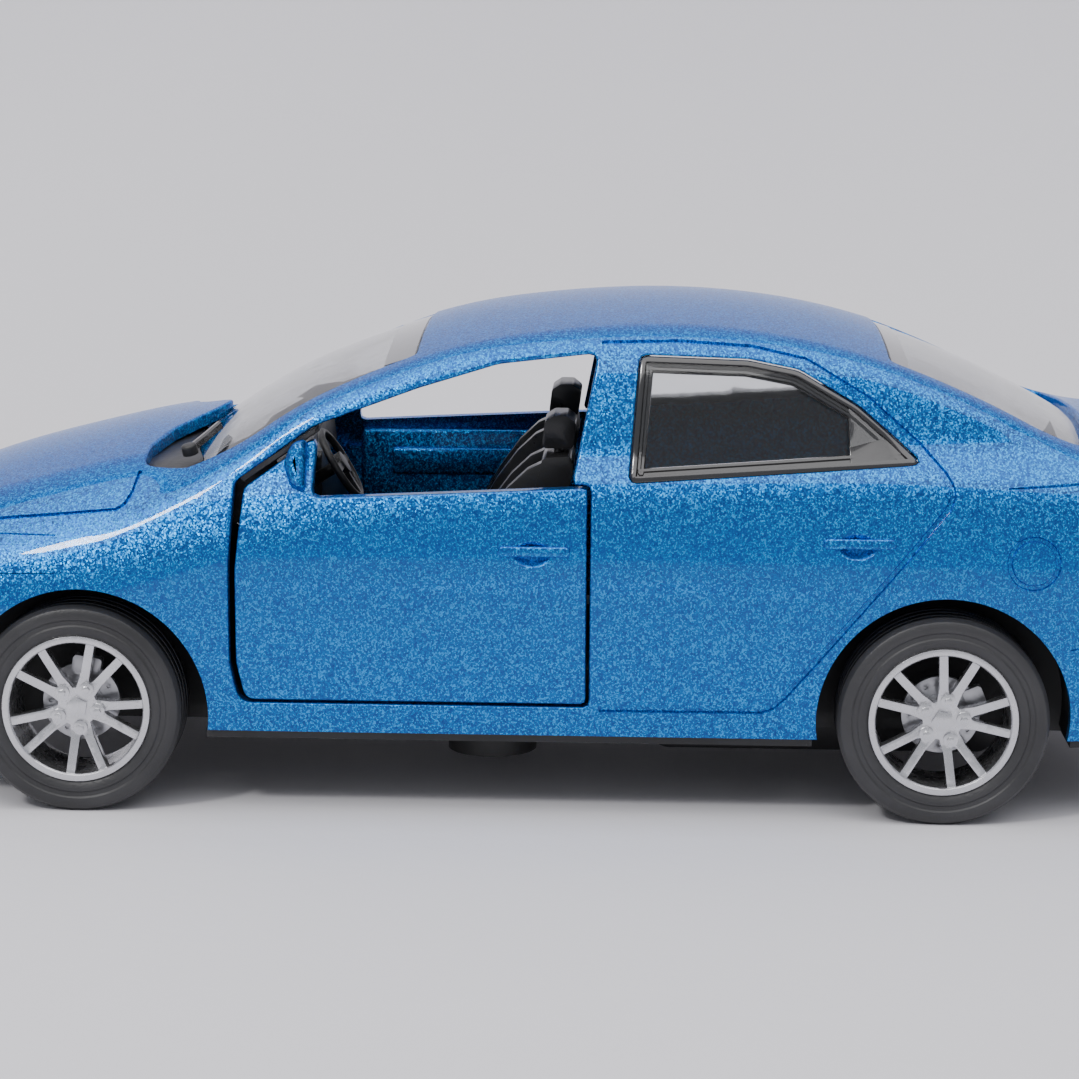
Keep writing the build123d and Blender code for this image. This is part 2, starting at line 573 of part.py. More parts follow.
def wheel(corner, x, side, tilt):
    section = Plane(origin=(x, 0, AXLE_Z), x_dir=(0, side, 0), z_dir=(side, 0, 0))
    face = Plane(origin=(x, 0, AXLE_Z), x_dir=(-side, 0, 0), z_dir=(0, side, 0))
    spin = Axis((x, 0, AXLE_Z), (0, 1, 0))
    with BuildPart() as tyre:
        with BuildSketch(section):
            with BuildLine():
                Polyline(TYRE_PROFILE, close=True)
            make_face()
        revolve(axis=spin)
        with BuildSketch(section):
            for u in (22.4, 23.85, 25.3):
                with Locations((u, TYRE_R)):
                    Rectangle(0.4, 0.7)
        revolve(axis=spin, mode=Mode.SUBTRACT)
    tyre.part.label = corner + "_tyre"
    export_step(tyre.part, "parts/" + corner + "_tyre.step")
    with BuildPart() as rim:
        with BuildSketch(section):
            with BuildLine():
                Polyline(DISH_PROFILE, close=True)
            make_face()
        revolve(axis=spin)
        with BuildSketch(face.offset(20)):
            Circle(1.9)
            with PolarLocations(0, 5, start_angle=tilt):
                for turn in (-1, 1):
                    Polygon((1.5, 0), (1.5, turn * 0.95), (3.0, turn * 1.12), (6.6, turn * 2.12),
                            (6.6, turn * 1.28), (3.0, turn * 0.25), (2.6, 0), align=None)
        extrude(amount=10, mode=Mode.INTERSECT)
        with BuildSketch(section):
            with BuildLine():
                Polyline(RIM_PROFILE, close=True)
            make_face()
        revolve(axis=spin)
        with BuildSketch(face.offset(25.6)):
            with Locations(Rotation(0, 0, tilt)):
                with PolarLocations(2.0, 5):
                    Circle(0.69)
            RegularPolygon(1.08, 5, rotation=tilt + 36)
        extrude(amount=0.75)
        with BuildSketch(face.offset(25.9)):
            with Locations(Rotation(0, 0, tilt)):
                with PolarLocations(2.0, 5):
                    RegularPolygon(0.38, 6)
        extrude(amount=0.85)
        with BuildSketch(face.offset(23.9)):
            Circle(1.7)
        extrude(amount=1.4)
        with BuildSketch(face.offset(23.9)):
            Circle(SHAFT_R + 0.01)
        extrude(amount=1.3, mode=Mode.SUBTRACT)
    rim.part.label = corner + "_rim"
    export_step(rim.part, "parts/" + corner + "_rim.step")
    with BuildPart() as disc:
        with BuildSketch(face.offset(23.0)):
            Circle(3.75)
        extrude(amount=0.6)
        with BuildSketch(face.offset(22.6)):
            Circle(2.1)
        extrude(amount=1.25)
        with BuildSketch(face.offset(22.8)):
            with Locations(Rotation(0, 0, tilt + 18)):
                with Locations((3.6, 0)):
                    RectangleRounded(1.9, 2.8, 0.4)
        extrude(amount=1.3)
        with BuildSketch(face.offset(23.3)):
            with PolarLocations(3.0, 12):
                Circle(0.18)
        extrude(amount=0.5, mode=Mode.SUBTRACT)
        with BuildSketch(face.offset(22)):
            Circle(SHAFT_R + 0.01)
        extrude(amount=3, mode=Mode.SUBTRACT)
    disc.part.label = corner + "_brake_disc"
    export_step(disc.part, "parts/" + corner + "_brake_disc.step")


wheel("front_left", FRONT_X, -1, 62.5)
wheel("front_right", FRONT_X, 1, 62.5)
wheel("rear_left", REAR_X, -1, 5.0)
wheel("rear_right", REAR_X, 1, 5.0)

for name, x in (("front_axle", FRONT_X), ("rear_axle", REAR_X)):
    with BuildPart() as axle:
        with BuildSketch(Plane(origin=(x, 0, AXLE_Z), z_dir=(0, 1, 0))):
            Circle(SHAFT_R)
        extrude(amount=25.1, both=True)
        chamfer(axle.edges().filter_by(GeomType.CIRCLE), length=0.2)
    axle.part.label = name
    export_step(axle.part, "parts/" + name + ".step")

# ---------------------------------------------------------------- pull-back motor
MODULE = 0.5
PRESSURE = math.radians(25)
T_AXLE, T_WHEEL, T_SMALL, T_SPRING = 12, 24, 12, 28
MESH_1, MESH_2 = math.radians(164), math.radians(180)
REACH_1 = MODULE * (T_AXLE + T_WHEEL) / 2
REACH_2 = MODULE * (T_SMALL + T_SPRING) / 2
IDLER = (REAR_X + REACH_1 * math.cos(MESH_1), AXLE_Z + REACH_1 * math.sin(MESH_1))
SPRING = (IDLER[0] + REACH_2 * math.cos(MESH_2), IDLER[1] + REACH_2 * math.sin(MESH_2))
PIN_R = 0.6


def tooth_outline(centre, teeth, phase):
    pitch = MODULE * teeth / 2
    base = pitch * math.cos(PRESSURE)
    tip, root = pitch + 0.85 * MODULE, pitch - 1.1 * MODULE
    half = math.pi / (2 * teeth) - 0.035 / pitch
    lean = math.tan(PRESSURE) - PRESSURE
    flank = []
    for step in range(5):
        radius = max(base, root) + (tip - max(base, root)) * step / 4
        slope = math.acos(min(1, base / radius))
        flank.append((radius, half + lean - (math.tan(slope) - slope)))
    if base > root:
        flank.insert(0, (root, flank[0][1]))
    points = []
    for tooth in range(teeth):
        middle = phase + 2 * math.pi * tooth / teeth
        for radius, turn in flank:
            points.append((centre[0] + radius * math.cos(middle - turn), centre[1] + radius * math.sin(middle - turn)))
        for radius, turn in reversed(flank):
            points.append((centre[0] + radius * math.cos(middle + turn), centre[1] + radius * math.sin(middle + turn)))
    return points


def layer(y0, y1):
    return Plane.XZ.offset(-y1), y1 - y0


with BuildPart() as pinion:
    plane, thick = layer(-6.0, -3.2)
    with BuildSketch(plane):
        with BuildLine():
            Polyline(tooth_outline((REAR_X, AXLE_Z), T_AXLE, MESH_1), close=True)
        make_face()
    extrude(amount=thick)
    plane, thick = layer(-8.2, -6.0)
    with BuildSketch(plane):
        with Locations((REAR_X, AXLE_Z)):
            Circle(2.0)
    extrude(amount=thick)
    with Locations((REAR_X, 0, AXLE_Z)):
        Cylinder(SHAFT_R + 0.01, 30, rotation=(90, 0, 0), mode=Mode.SUBTRACT)
pinion.part.label = "axle_pinion"
export_step(pinion.part, "parts/axle_pinion.step")

with BuildPart() as idler:
    plane, thick = layer(-6.0, -3.2)
    with BuildSketch(plane):
        with BuildLine():
            Polyline(tooth_outline(IDLER, T_WHEEL, MESH_1 + math.pi + math.pi / T_WHEEL), close=True)
        make_face()
    extrude(amount=thick)
    plane, thick = layer(-3.3, 0.4)
    with BuildSketch(plane):
        with BuildLine():
            Polyline(tooth_outline(IDLER, T_SMALL, MESH_2), close=True)
        make_face()
    extrude(amount=thick)
    for y0, y1 in ((-8.8, -5.9), (0.3, 8.8)):
        plane, thick = layer(y0, y1)
        with BuildSketch(plane):
            with Locations(IDLER):
                Circle(1.3)
        extrude(amount=thick)
    with Locations((IDLER[0], 0, IDLER[1])):
        Cylinder(PIN_R + RUN, 30, rotation=(90, 0, 0), mode=Mode.SUBTRACT)
idler.part.label = "idler_gear"
export_step(idler.part, "parts/idler_gear.step")

with BuildPart() as spring_gear:
    plane, thick = layer(-2.7, -0.3)
    with BuildSketch(plane):
        with BuildLine():
            Polyline(tooth_outline(SPRING, T_SPRING, MESH_2 + math.pi + math.pi / T_SPRING), close=True)
        make_face()
    extrude(amount=thick)
    for y0, y1 in ((-8.8, -2.6), (-0.4, 8.8)):
        plane, thick = layer(y0, y1)
        with BuildSketch(plane):
            with Locations(SPRING):
                Circle(1.5)
        extrude(amount=thick)
    with Locations((SPRING[0], 0, SPRING[1])):
        Cylinder(PIN_R + RUN, 30, rotation=(90, 0, 0), mode=Mode.SUBTRACT)
spring_gear.part.label = "spring_gear"
export_step(spring_gear.part, "parts/spring_gear.step")

with BuildPart() as mainspring:
    plane, thick = layer(0.4, 5.6)
    coil = []
    for step in range(0, 145):
        turn = math.radians(180 + 15 * step - 15 * 144)
        coil.append((1.72 + 4.5 * step / 144, turn))
    with BuildSketch(plane):
        with BuildLine():
            near = Spline([(SPRING[0] + (r - 0.11) * math.cos(t), SPRING[1] + (r - 0.11) * math.sin(t))
                           for r, t in coil])
            far = Spline([(SPRING[0] + (r + 0.11) * math.cos(t), SPRING[1] + (r + 0.11) * math.sin(t))
                          for r, t in coil])
            Line(near @ 0, far @ 0)
            Line(near @ 1, far @ 1)
        make_face()
    extrude(amount=thick)
mainspring.part.label = "mainspring"
export_step(mainspring.part, "parts/mainspring.step")

for name, (x, z) in (("idler_pin", IDLER), ("spring_pin", SPRING)):
    with BuildPart() as shaft:
        with BuildSketch(Plane(origin=(x, 0, z), z_dir=(0, 1, 0))):
            Circle(PIN_R)
        extrude(amount=9.8, both=True)
        chamfer(shaft.edges().filter_by(GeomType.CIRCLE), length=0.12)
    shaft.part.label = name
    export_step(shaft.part, "parts/" + name + ".step")

CASE = ((MOTOR_X0, 3.0), (MOTOR_X1, 3.0), (MOTOR_X1, 14.0), (37.5, 21.6), (MOTOR_X0, 21.6))
for name, side in (("left", -1), ("right", 1)):
    with BuildPart() as case:
        with BuildSketch(Plane.XZ):
            with BuildLine():
                Polyline(CASE, close=True)
            make_face()
            fillet(vertices(), radius=2.2)
        extrude(amount=-side * MOTOR_HALF)
        with BuildSketch(Plane.XZ):
            with BuildLine():
                Polyline(CASE, close=True)
            make_face()
            fillet(vertices(), radius=2.2)
            offset(amount=-1.0)
        extrude(amount=-side * (MOTOR_HALF - 1.0), mode=Mode.SUBTRACT)
        for x in MOTOR_SCREWS:
            inner_x = MOTOR_X0 + 0.5 if x < 20 else MOTOR_X1 - 0.5
            with BuildSketch(Plane.XY.offset(PLATE_Z1 + 0.02)):
                with Locations(((x + inner_x) / 2, side * 1.5)):
                    Rectangle(abs(inner_x - x), 3.0)
                with Locations((x, 0)):
                    Circle(3.0)
                with Locations((x, -side * 5)):
                    Rectangle(8, 10, mode=Mode.SUBTRACT)
                with Locations((x, 0)):
                    Circle(0.95, mode=Mode.SUBTRACT)
            extrude(amount=1.2)
        if side > 0:
            with BuildSketch(Plane.XZ):
                with Locations((SPRING[0] - 6.95, SPRING[1])):
                    Circle(0.6)
            extrude(amount=-MOTOR_HALF + 0.5)
        with Locations((REAR_X, 0, AXLE_Z)):
            Cylinder(SHAFT_R + RUN, 40, rotation=(90, 0, 0), mode=Mode.SUBTRACT)
        for x, z in (IDLER, SPRING):
            with Locations((x, 0, z)):
                Cylinder(PIN_R + 0.01, 40, rotation=(90, 0, 0), mode=Mode.SUBTRACT)
    case.part.label = "motor_case_" + name
    export_step(case.part, "parts/motor_case_" + name + ".step")
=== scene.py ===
import math

import bmesh
import bpy
import numpy as np
from mathutils import Matrix, Vector


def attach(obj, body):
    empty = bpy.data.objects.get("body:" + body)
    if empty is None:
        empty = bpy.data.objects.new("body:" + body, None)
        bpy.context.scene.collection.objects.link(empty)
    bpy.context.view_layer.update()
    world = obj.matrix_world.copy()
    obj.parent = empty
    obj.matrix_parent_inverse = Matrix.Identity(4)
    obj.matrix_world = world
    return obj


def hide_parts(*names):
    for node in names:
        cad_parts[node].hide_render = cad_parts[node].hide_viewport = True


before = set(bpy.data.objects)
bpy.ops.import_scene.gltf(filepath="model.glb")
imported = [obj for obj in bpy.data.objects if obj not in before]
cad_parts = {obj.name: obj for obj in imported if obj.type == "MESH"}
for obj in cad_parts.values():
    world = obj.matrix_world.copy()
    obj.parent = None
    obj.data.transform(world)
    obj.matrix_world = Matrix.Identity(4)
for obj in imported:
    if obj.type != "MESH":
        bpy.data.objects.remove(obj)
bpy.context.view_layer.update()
MM = 0.001

# ---------------------------------------- the body's driving dimensions, millimetres
WALL, SILL_Z, ARCH_R = 1.3, 8.1, 12.1
ARCHES = ((-42.7, 9.8), (39.5, 10.1))
# height, half width, nose X, tail X
SIDE = np.array(((4.0, 25.6, -67.0, 66.2), (8.0, 26.3, -69.4, 68.8), (12.0, 27.1, -70.5, 70.4),
                 (17.0, 27.6, -70.8, 70.8), (22.0, 27.7, -70.2, 70.6), (26.0, 27.5, -68.9, 70.2),
                 (30.0, 26.7, -66.6, 69.7), (34.0, 25.6, -63.5, 69.0), (40.0, 24.0, -58.0, 67.6)))
NOSE_POWER, SIDE_POWER = 9.0, 2.2
# X, height on the centre line, crown, roll at the shoulder
TOP = np.array(((-78.0, 11.5, 3.0, 5.0), (-74.0, 17.0, 3.0, 5.0), (-70.8, 21.8, 3.0, 5.2),
                (-67.5, 25.1, 2.8, 5.4), (-62.0, 28.1, 2.6, 5.7), (-55.7, 30.5, 2.4, 6.0),
                (-45.3, 33.3, 2.0, 6.3), (-38.0, 34.8, 1.8, 6.1), (-30.0, 35.3, 1.6, 4.6),
                (-20.0, 34.8, 1.1, 3.2), (0.0, 34.4, 0.5, 2.0), (20.0, 34.7, 0.4, 1.8),
                (37.0, 34.9, 0.2, 1.6), (50.0, 35.0, 0.2, 2.4), (58.0, 35.1, 0.3, 3.2),
                (65.0, 34.8, 0.4, 4.0), (70.8, 33.2, 0.4, 4.6), (78.0, 29.6, 0.4, 5.0)))
# X, height of the roof line
ROOF = np.array(((-44.0, 27.0), (-38.0, 31.3), (-31.1, 36.0), (-24.7, 39.9), (-19.0, 42.3),
                 (-14.4, 43.9), (-8.0, 45.7), (0.0, 46.9), (11.0, 47.6), (22.0, 47.1), (30.0, 45.8),
                 (36.4, 44.0), (41.5, 42.1), (46.6, 39.9), (52.0, 37.2), (58.0, 34.0), (66.0, 29.6)))
# height, half width of the cabin
CABIN = np.array(((24.0, 26.0), (28.0, 25.9), (32.3, 25.4), (36.0, 24.5), (40.0, 23.3),
                  (43.0, 22.1), (44.5, 21.3), (46.0, 20.3), (47.5, 18.8), (50.0, 15.0)))
FRONT_SWEEP, REAR_SWEEP = 0.00015, 0.0001
ROOF_CROWN, ROOF_HALF = 1.1, 20
CROWN_HALF, SHOULDER_Y, SHOULDER_RUN = 22, 18, 9
CABIN_TAPER = 2.2
SHOULDER_ROUND, GUTTER_ROUND, WAIST_FILLET = 2.0, 1.6, 3.2
# outlines on the sides are (X, Z), on the screens (X, Y) and on the ends (Y, Z)
DOOR_OUTLINE = ((-27.6, 11.0), (-28.4, 15.0), (-28.45, 24.0), (-28.1, 32.2), (-20.3, 37.5), (-10.75, 41.0),
                (-3.2, 43.3), (6.3, 44.4), (4.0, 32.5), (5.8, 32.4), (5.8, 11.0))
DOOR_PANEL = ((-27.0, 11.3), (-27.8, 15.0), (-27.85, 24.0), (-27.2, 31.6), (-20.3, 36.5), (-20.6, 30.9),
              (5.45, 32.2), (5.5, 11.3))
REAR_WINDOW = ((9.3, 32.6), (10.2, 44.3), (20.5, 44.0), (25.3, 43.1), (30.9, 39.9), (37.2, 34.6))
COWL_EDGE = ((-37.4, 20.5), (-37.4, 15.5), (-36.1, 9.5), (-34.4, 6.0), (-32.6, 3.0), (-31.2, 0.0))
SCREEN_SIDE = ((-11.3, 18.4), (-22.0, 20.6), (-33.0, 22.0))
HEADLAMP = ((13.2, 21.4), (14.2, 24.0), (20.0, 26.3), (28.0, 26.9), (28.0, 23.8), (20.5, 20.8))
TAILLAMP = ((15.6, 27.6), (16.0, 32.0), (24.0, 33.2), (28.2, 31.6), (28.2, 27.8))
GRILLE = ((11.2, 19.4), (12.2, 23.4))
INTAKE = ((15.5, 10.4), (13.6, 15.2))
HINGE = (-23.2, 25.7)
MIRROR = ((-21.2, 31.2), (-21.2, 36.2), (-22.7, 35.6), (-23.4, 33.7), (-22.7, 31.8))
REAR_DOOR_LINE = ((6.6, 45.2), (14.0, 45.4), (20.8, 45.0), (25.9, 43.9), (31.7, 40.5), (36.6, 36.3),
                  (38.9, 33.9), (39.7, 32.6), (39.8, 31.6), (39.3, 30.5), (38.4, 29.4), (24.2, 12.3),
                  (23.3, 11.4), (22.2, 10.95), (6.8, 10.9))
BONNET_LINE = ((-64.5, 25.0), (-58.0, 26.6), (-50.4, 27.9), (-44.0, 28.6), (-39.6, 29.1),
               (-38.7, 29.6), (-38.0, 30.8), (-37.6, 32.4))
BOOT_LINE = ((55.4, 33.2), (60.0, 32.9), (66.4, 32.0))
REAR_BUMPER_LINE = ((51.2, 17.4), (54.0, 17.9), (60.0, 18.6), (68.4, 19.2))
FRONT_BUMPER_LINE = ((-55.2, 17.4), (-60.0, 18.4), (-68.6, 19.4))
FUEL_CAP, FUEL_CAP_R = (47.5, 25.6), 2.3
DENT_WIDE, DENT_TALL, DENT_DEEP = 3.2, 2.1, 0.6
PULL_WIDE, PULL_TALL, PULL_ROUND = 6.8, 1.0, 0.25
PULL_LOW, PULL_HIGH = -0.5, 0.32
POST_OUTER, POST_BORE = 2.4, 1.02
# window frame: (outward from the outline, up from the skin)
FRAME_SECTION = ((-0.08, -1.25), (-0.08, -0.3), (-0.3, -0.16), (-0.62, -0.2), (-0.75, -0.5), (-0.98, -0.52),
                 (-1.08, -0.36), (-1.3, -0.36), (-1.42, -0.6), (-1.42, -1.25))


# ---------------------------------------- the skin as a smooth function
def natural(xs, ys):
    """Natural cubic spline through the rows, straight beyond its ends."""
    xs, ys = np.asarray(xs, float), np.asarray(ys, float)
    n, h = len(xs), np.diff(xs)
    a = np.zeros((n, n))
    b = np.zeros(n)
    a[0, 0] = a[-1, -1] = 1
    for i in range(1, n - 1):
        a[i, i - 1:i + 2] = h[i - 1], 2 * (h[i - 1] + h[i]), h[i]
        b[i] = 6 * ((ys[i + 1] - ys[i]) / h[i] - (ys[i] - ys[i - 1]) / h[i - 1])
    m = np.linalg.solve(a, b)

    def at(x):
        c = np.clip(x, xs[0], xs[-1])
        i = np.clip(np.searchsorted(xs, c) - 1, 0, n - 2)
        u, v, k = c - xs[i], xs[i + 1] - c, h[i]
        left, right = ys[i] / k - m[i] * k / 6, ys[i + 1] / k - m[i + 1] * k / 6
        y = (m[i] * v ** 3 + m[i + 1] * u ** 3) / (6 * k) + left * v + right * u
        slope = (m[i + 1] * u ** 2 - m[i] * v ** 2) / (2 * k) - left + right
        return y + slope * (x - c), slope

    return at


half_at, nose_at, tail_at = (natural(SIDE[:, 0], SIDE[:, c]) for c in (1, 2, 3))
centre_at, crown_at, roll_at = (natural(TOP[:, 0], TOP[:, c]) for c in (1, 2, 3))
roof_at = natural(ROOF[:, 0], ROOF[:, 1])
cabin_at = natural(CABIN[:, 0], CABIN[:, 1])


def smooth_max(a, b, k):
    """The larger of two distances, with a fillet about k wide where they cross."""
    h = np.clip(0.5 + 0.5 * (a - b) / k, 0, 1)
    return b * (1 - h) + a * h + k * h * (1 - h)


def skin(x, y, z, inset=0.0):
    """Below zero inside the body, near millimetres from its surface."""
    ay = np.abs(y)
    half, nose, tail = half_at(z)[0] - inset, nose_at(z)[0], tail_at(z)[0]
    mid, reach = (nose + tail) / 2, (tail - nose) / 2 - inset
    s = (x - mid) / reach
    t = ay / half
    g = np.abs(s) ** NOSE_POWER + t ** SIDE_POWER - 1
    gx = NOSE_POWER * np.abs(s) ** (NOSE_POWER - 1) / reach
    gy = SIDE_POWER * t ** (SIDE_POWER - 1) / half
    side = g / np.maximum(np.sqrt(gx * gx + gy * gy), 0.03)
    (centre, cx), (crown, _), (roll, _) = centre_at(x), crown_at(x), roll_at(x)
    over = np.maximum(0, (ay - SHOULDER_Y) / SHOULDER_RUN)
    height = centre - crown * (y / CROWN_HALF) ** 2 - roll * over ** 2 - inset
    ty = crown * 2 * ay / CROWN_HALF ** 2 + roll * 2 * over / SHOULDER_RUN
    top = (z - height) / np.sqrt(1 + cx * cx + ty * ty)
    lower = smooth_max(side, top, SHOULDER_ROUND)
    c, cz = cabin_at(z)
    wall = (ay - (c - CABIN_TAPER * (np.abs(x - 5) / 45) ** 3 - inset)) / np.sqrt(1 + cz * cz)
    ramp = np.clip((x + 4) / 30, 0, 1)
    sweep = FRONT_SWEEP + (REAR_SWEEP - FRONT_SWEEP) * ramp * ramp * (3 - 2 * ramp)
    r, rx = roof_at(11 + (x - 11) * (1 + sweep * y * y))
    ry = 2 * ROOF_CROWN * y / ROOF_HALF ** 2
    roof = (z - (r - ROOF_CROWN * (y / ROOF_HALF) ** 2 - inset)) / np.sqrt(1 + rx * rx + ry ** 2)
    cabin = smooth_max(wall, roof, GUTTER_ROUND)
    cabin = np.maximum(cabin, np.maximum(np.abs(x - 9) - 53, 25 - z))
    return -smooth_max(-lower, -cabin, WAIST_FILLET)


def slope_of(p, inset=0.0, e=0.02):
    """Gradient of the skin function at each point."""
    g = np.empty_like(p)
    for i in range(3):
        d = np.zeros(3)
        d[i] = e
        g[:, i] = skin(*(p + d).T, inset) - skin(*(p - d).T, inset)
    return g / (2 * e)


def unit(v):
    return v / np.maximum(np.linalg.norm(v, axis=-1, keepdims=True), 1e-9)


def net(inset, low, step=0.6):
    """Surface net of the skin function above z = low, its points then moved onto the surface."""
    lo, hi = np.array((-73.0, -30.0, low - 2)), np.array((73.0, 30.0, 50.0))
    ax = [np.arange(a, b + step, step) for a, b in zip(lo, hi)]
    gx, gy, gz = np.meshgrid(*ax, indexing="ij")
    v = np.maximum(skin(gx, gy, gz, inset), low - gz)
    inside = v < 0
    n = [len(a) - 1 for a in ax]
    corners = [(i, j, k) for i in (0, 1) for j in (0, 1) for k in (0, 1)]

    def cell(a, c):
        return a[c[0]:c[0] + n[0], c[1]:c[1] + n[1], c[2]:c[2] + n[2]]

    count = sum(cell(inside, c).astype(np.int8) for c in corners)
    active = (count > 0) & (count < 8)
    where = np.argwhere(active)
    index = np.full(active.shape, -1)
    index[active] = np.arange(len(where))
    total, hits = np.zeros((len(where), 3)), np.zeros(len(where))
    for axis in range(3):
        for c in corners:
            if c[axis]:
                continue
            e = list(c)
            e[axis] = 1
            v0 = v[tuple((where + c).T)]
            v1 = v[tuple((where + e).T)]
            cross = (v0 < 0) != (v1 < 0)
            f = np.where(cross, v0 / np.where(cross, v0 - v1, 1), 0)
            p = where + np.array(c, float)
            p[:, axis] += f
            total += p * cross[:, None]
            hits += cross
    points = lo + total / hits[:, None] * step
    quads = []
    for axis in range(3):
        a, b = [(1, 2), (2, 0), (0, 1)][axis]
        first = np.take(inside, np.arange(n[axis]), axis=axis)
        second = np.take(inside, np.arange(1, n[axis] + 1), axis=axis)
        edge = np.argwhere(first != second)
        edge = edge[(edge[:, a] > 0) & (edge[:, b] > 0) & (edge[:, a] < n[a]) & (edge[:, b] < n[b])]
        flip = ~first[tuple(edge.T)]
        ring = []
        for da, db in ((0, 0), (-1, 0), (-1, -1), (0, -1)):
            q = edge.copy()
            q[:, a] += da
            q[:, b] += db
            ring.append(index[tuple(q.T)])
        ring = np.stack(ring, 1)
        ring[flip] = ring[flip][:, ::-1]
        quads.append(ring)
    quads = np.concatenate(quads)
    for _ in range(4):
        free = points[:, 2] > low + 0.05
        p = points[free]
        g = slope_of(p, inset)
        d = skin(*p.T, inset)[:, None] * g / np.maximum((g * g).sum(1, keepdims=True), 0.05)
        points[free] = p - np.clip(d, -0.4, 0.4)
    return points, quads


def raw_mesh(name, points, faces):
    """Mesh object from points in millimetres."""
    mesh = bpy.data.meshes.new(name)
    metres = [tuple(p) for p in np.asarray(points) * MM]
    mesh.from_pydata(metres, [], [tuple(int(i) for i in f) for f in faces])
    mesh.update()
    o = bpy.data.objects.new(name, mesh)
    bpy.context.scene.collection.objects.link(o)
    return o


def outward(o):
    """Turns every face of a closed mesh to the outside."""
    b = bmesh.new()
    b.from_mesh(o.data)
    bmesh.ops.recalc_face_normals(b, faces=b.faces)
    if b.calc_volume(signed=True) < 0:
        bmesh.ops.reverse_faces(b, faces=b.faces)
    b.to_mesh(o.data)
    b.free()
    return o


# ---------------------------------------- cutters that follow the skin
def rounded(points, radius, step=0.5):
    """A closed outline with rounded corners, in even short steps."""
    pts = [np.array(p, float) for p in points]
    out = []
    for i, p in enumerate(pts):
        a, b = pts[i - 1] - p, pts[(i + 1) % len(pts)] - p
        la, lb = np.linalg.norm(a), np.linalg.norm(b)
        a, b = a / la, b / lb
        turn = math.acos(max(-1, min(1, a @ b)))
        r = radius[i] if isinstance(radius, (list, tuple)) else radius
        back = min(r / max(math.tan(turn / 2), 1e-3), 0.45 * la, 0.45 * lb)
        for t in np.linspace(0, 1, 7):
            out.append(((1 - t) ** 2) * (p + a * back) + 2 * t * (1 - t) * p + t * t * (p + b * back))
    closed = np.array(out + [out[0]])
    length = np.concatenate([[0], np.cumsum(np.linalg.norm(np.diff(closed, axis=0), axis=1))])
    n = int(length[-1] / step)
    at = np.linspace(0, length[-1], n, endpoint=False)
    return np.stack([np.interp(at, length, closed[:, k]) for k in (0, 1)], 1)


AXES = {"x": 0, "y": 1, "z": 2}
INSIDE = {"x": 45.0, "y": 8.0, "z": 20.0}
OUTSIDE = {"x": 74.0, "y": 30.0, "z": 52.0}
CLEAR_OF_BODY = {"x": 80.0, "y": 34.0, "z": 56.0}


def on_skin(q, axis, sign):
    """Where the line through q along the axis meets the skin from outside, and the normal there."""
    k = AXES[axis]
    rest = [i for i in range(3) if i != k]
    p = np.zeros((len(q), 3))
    p[:, rest] = q
    a, b = np.full(len(q), sign * OUTSIDE[axis]), np.full(len(q), sign * INSIDE[axis])
    for _ in range(40):
        m = (a + b) / 2
        p[:, k] = m
        inside = skin(*p.T) < 0
        b = np.where(inside, m, b)
        a = np.where(inside, a, m)
    p[:, k] = (a + b) / 2
    return p, unit(slope_of(p))


def ring_at(outline, axis, sign, spread, lift):
    """The outline laid on the skin, moved outward in its plane by spread and off the skin by lift."""
    following, before = np.roll(outline, -1, 0), np.roll(outline, 1, 0)
    t = unit(following - before)
    out = np.stack([t[:, 1], -t[:, 0]], 1)
    area = 0.5 * np.sum(outline[:, 0] * following[:, 1] - following[:, 0] * outline[:, 1])
    if area < 0:
        out = -out
    p, n = on_skin(outline + out * spread, axis, sign)
    return p + n * lift


def solid_of(name, rings, loop=False):
    """Closed mesh through a stack of rings, capped at its ends or closed on itself."""
    n, m = len(rings[0]), len(rings)
    faces = []
    for r in range(m if loop else m - 1):
        s = (r + 1) % m
        for i in range(n):
            j = (i + 1) % n
            faces.append((r * n + i, r * n + j, s * n + j, s * n + i))
    if not loop:
        faces.append(tuple(range(n)))
        faces.append(tuple(reversed(range((m - 1) * n, m * n))))
    return outward(raw_mesh(name, np.concatenate(rings), faces))


def cutter(name, outline, axis, sign, radius, deep, keep=False):
    """Closed prism through the skin with a rounded lip; keep=True shapes a panel instead of a hole."""
    lip = -1 if keep else 1
    k = AXES[axis]
    outer = ring_at(outline, axis, sign, lip * (radius + 0.25), 0.5)
    far = outer.copy()
    far[:, k] = sign * CLEAR_OF_BODY[axis]
    rings = [far, outer]
    for a in np.radians((0, 30, 60, 90)):
        out, down = lip * radius * (1 - math.sin(a)), radius * (1 - math.cos(a))
        rings.append(ring_at(outline, axis, sign, out, -down))
    end = rings[-1].copy()
    end[:, k] = deep
    return solid_of(name, rings + [end])


def raised(name, outline, axis, sign, low, high, radius):
    """A pad on the skin from low to high along its normal, with a rounded upper edge."""
    rings = [ring_at(outline, axis, sign, 0.0, low)]
    for a in np.radians((0, 22, 45, 68, 90)):
        back, down = radius * (1 - math.cos(a)), radius * (1 - math.sin(a))
        rings.append(ring_at(outline, axis, sign, -back, high - down))
    return solid_of(name, rings)


def dish(name, outline, axis, sign, depth):
    """Cutter for a shallow hollow with soft edges."""
    steps = ((0.3, 0.5), (0.3, 0.02), (0.12, -0.06), (-0.1, -0.5 * depth), (-0.35, -0.9 * depth),
             (-0.6, -depth))
    return solid_of(name, [ring_at(outline, axis, sign, a, b) for a, b in steps])


def frame_of(name, outline, axis, sign, section):
    """A moulded frame round an outline; section is a closed loop of (spread, lift)."""
    return solid_of(name, [ring_at(outline, axis, sign, a, b) for a, b in section], True)


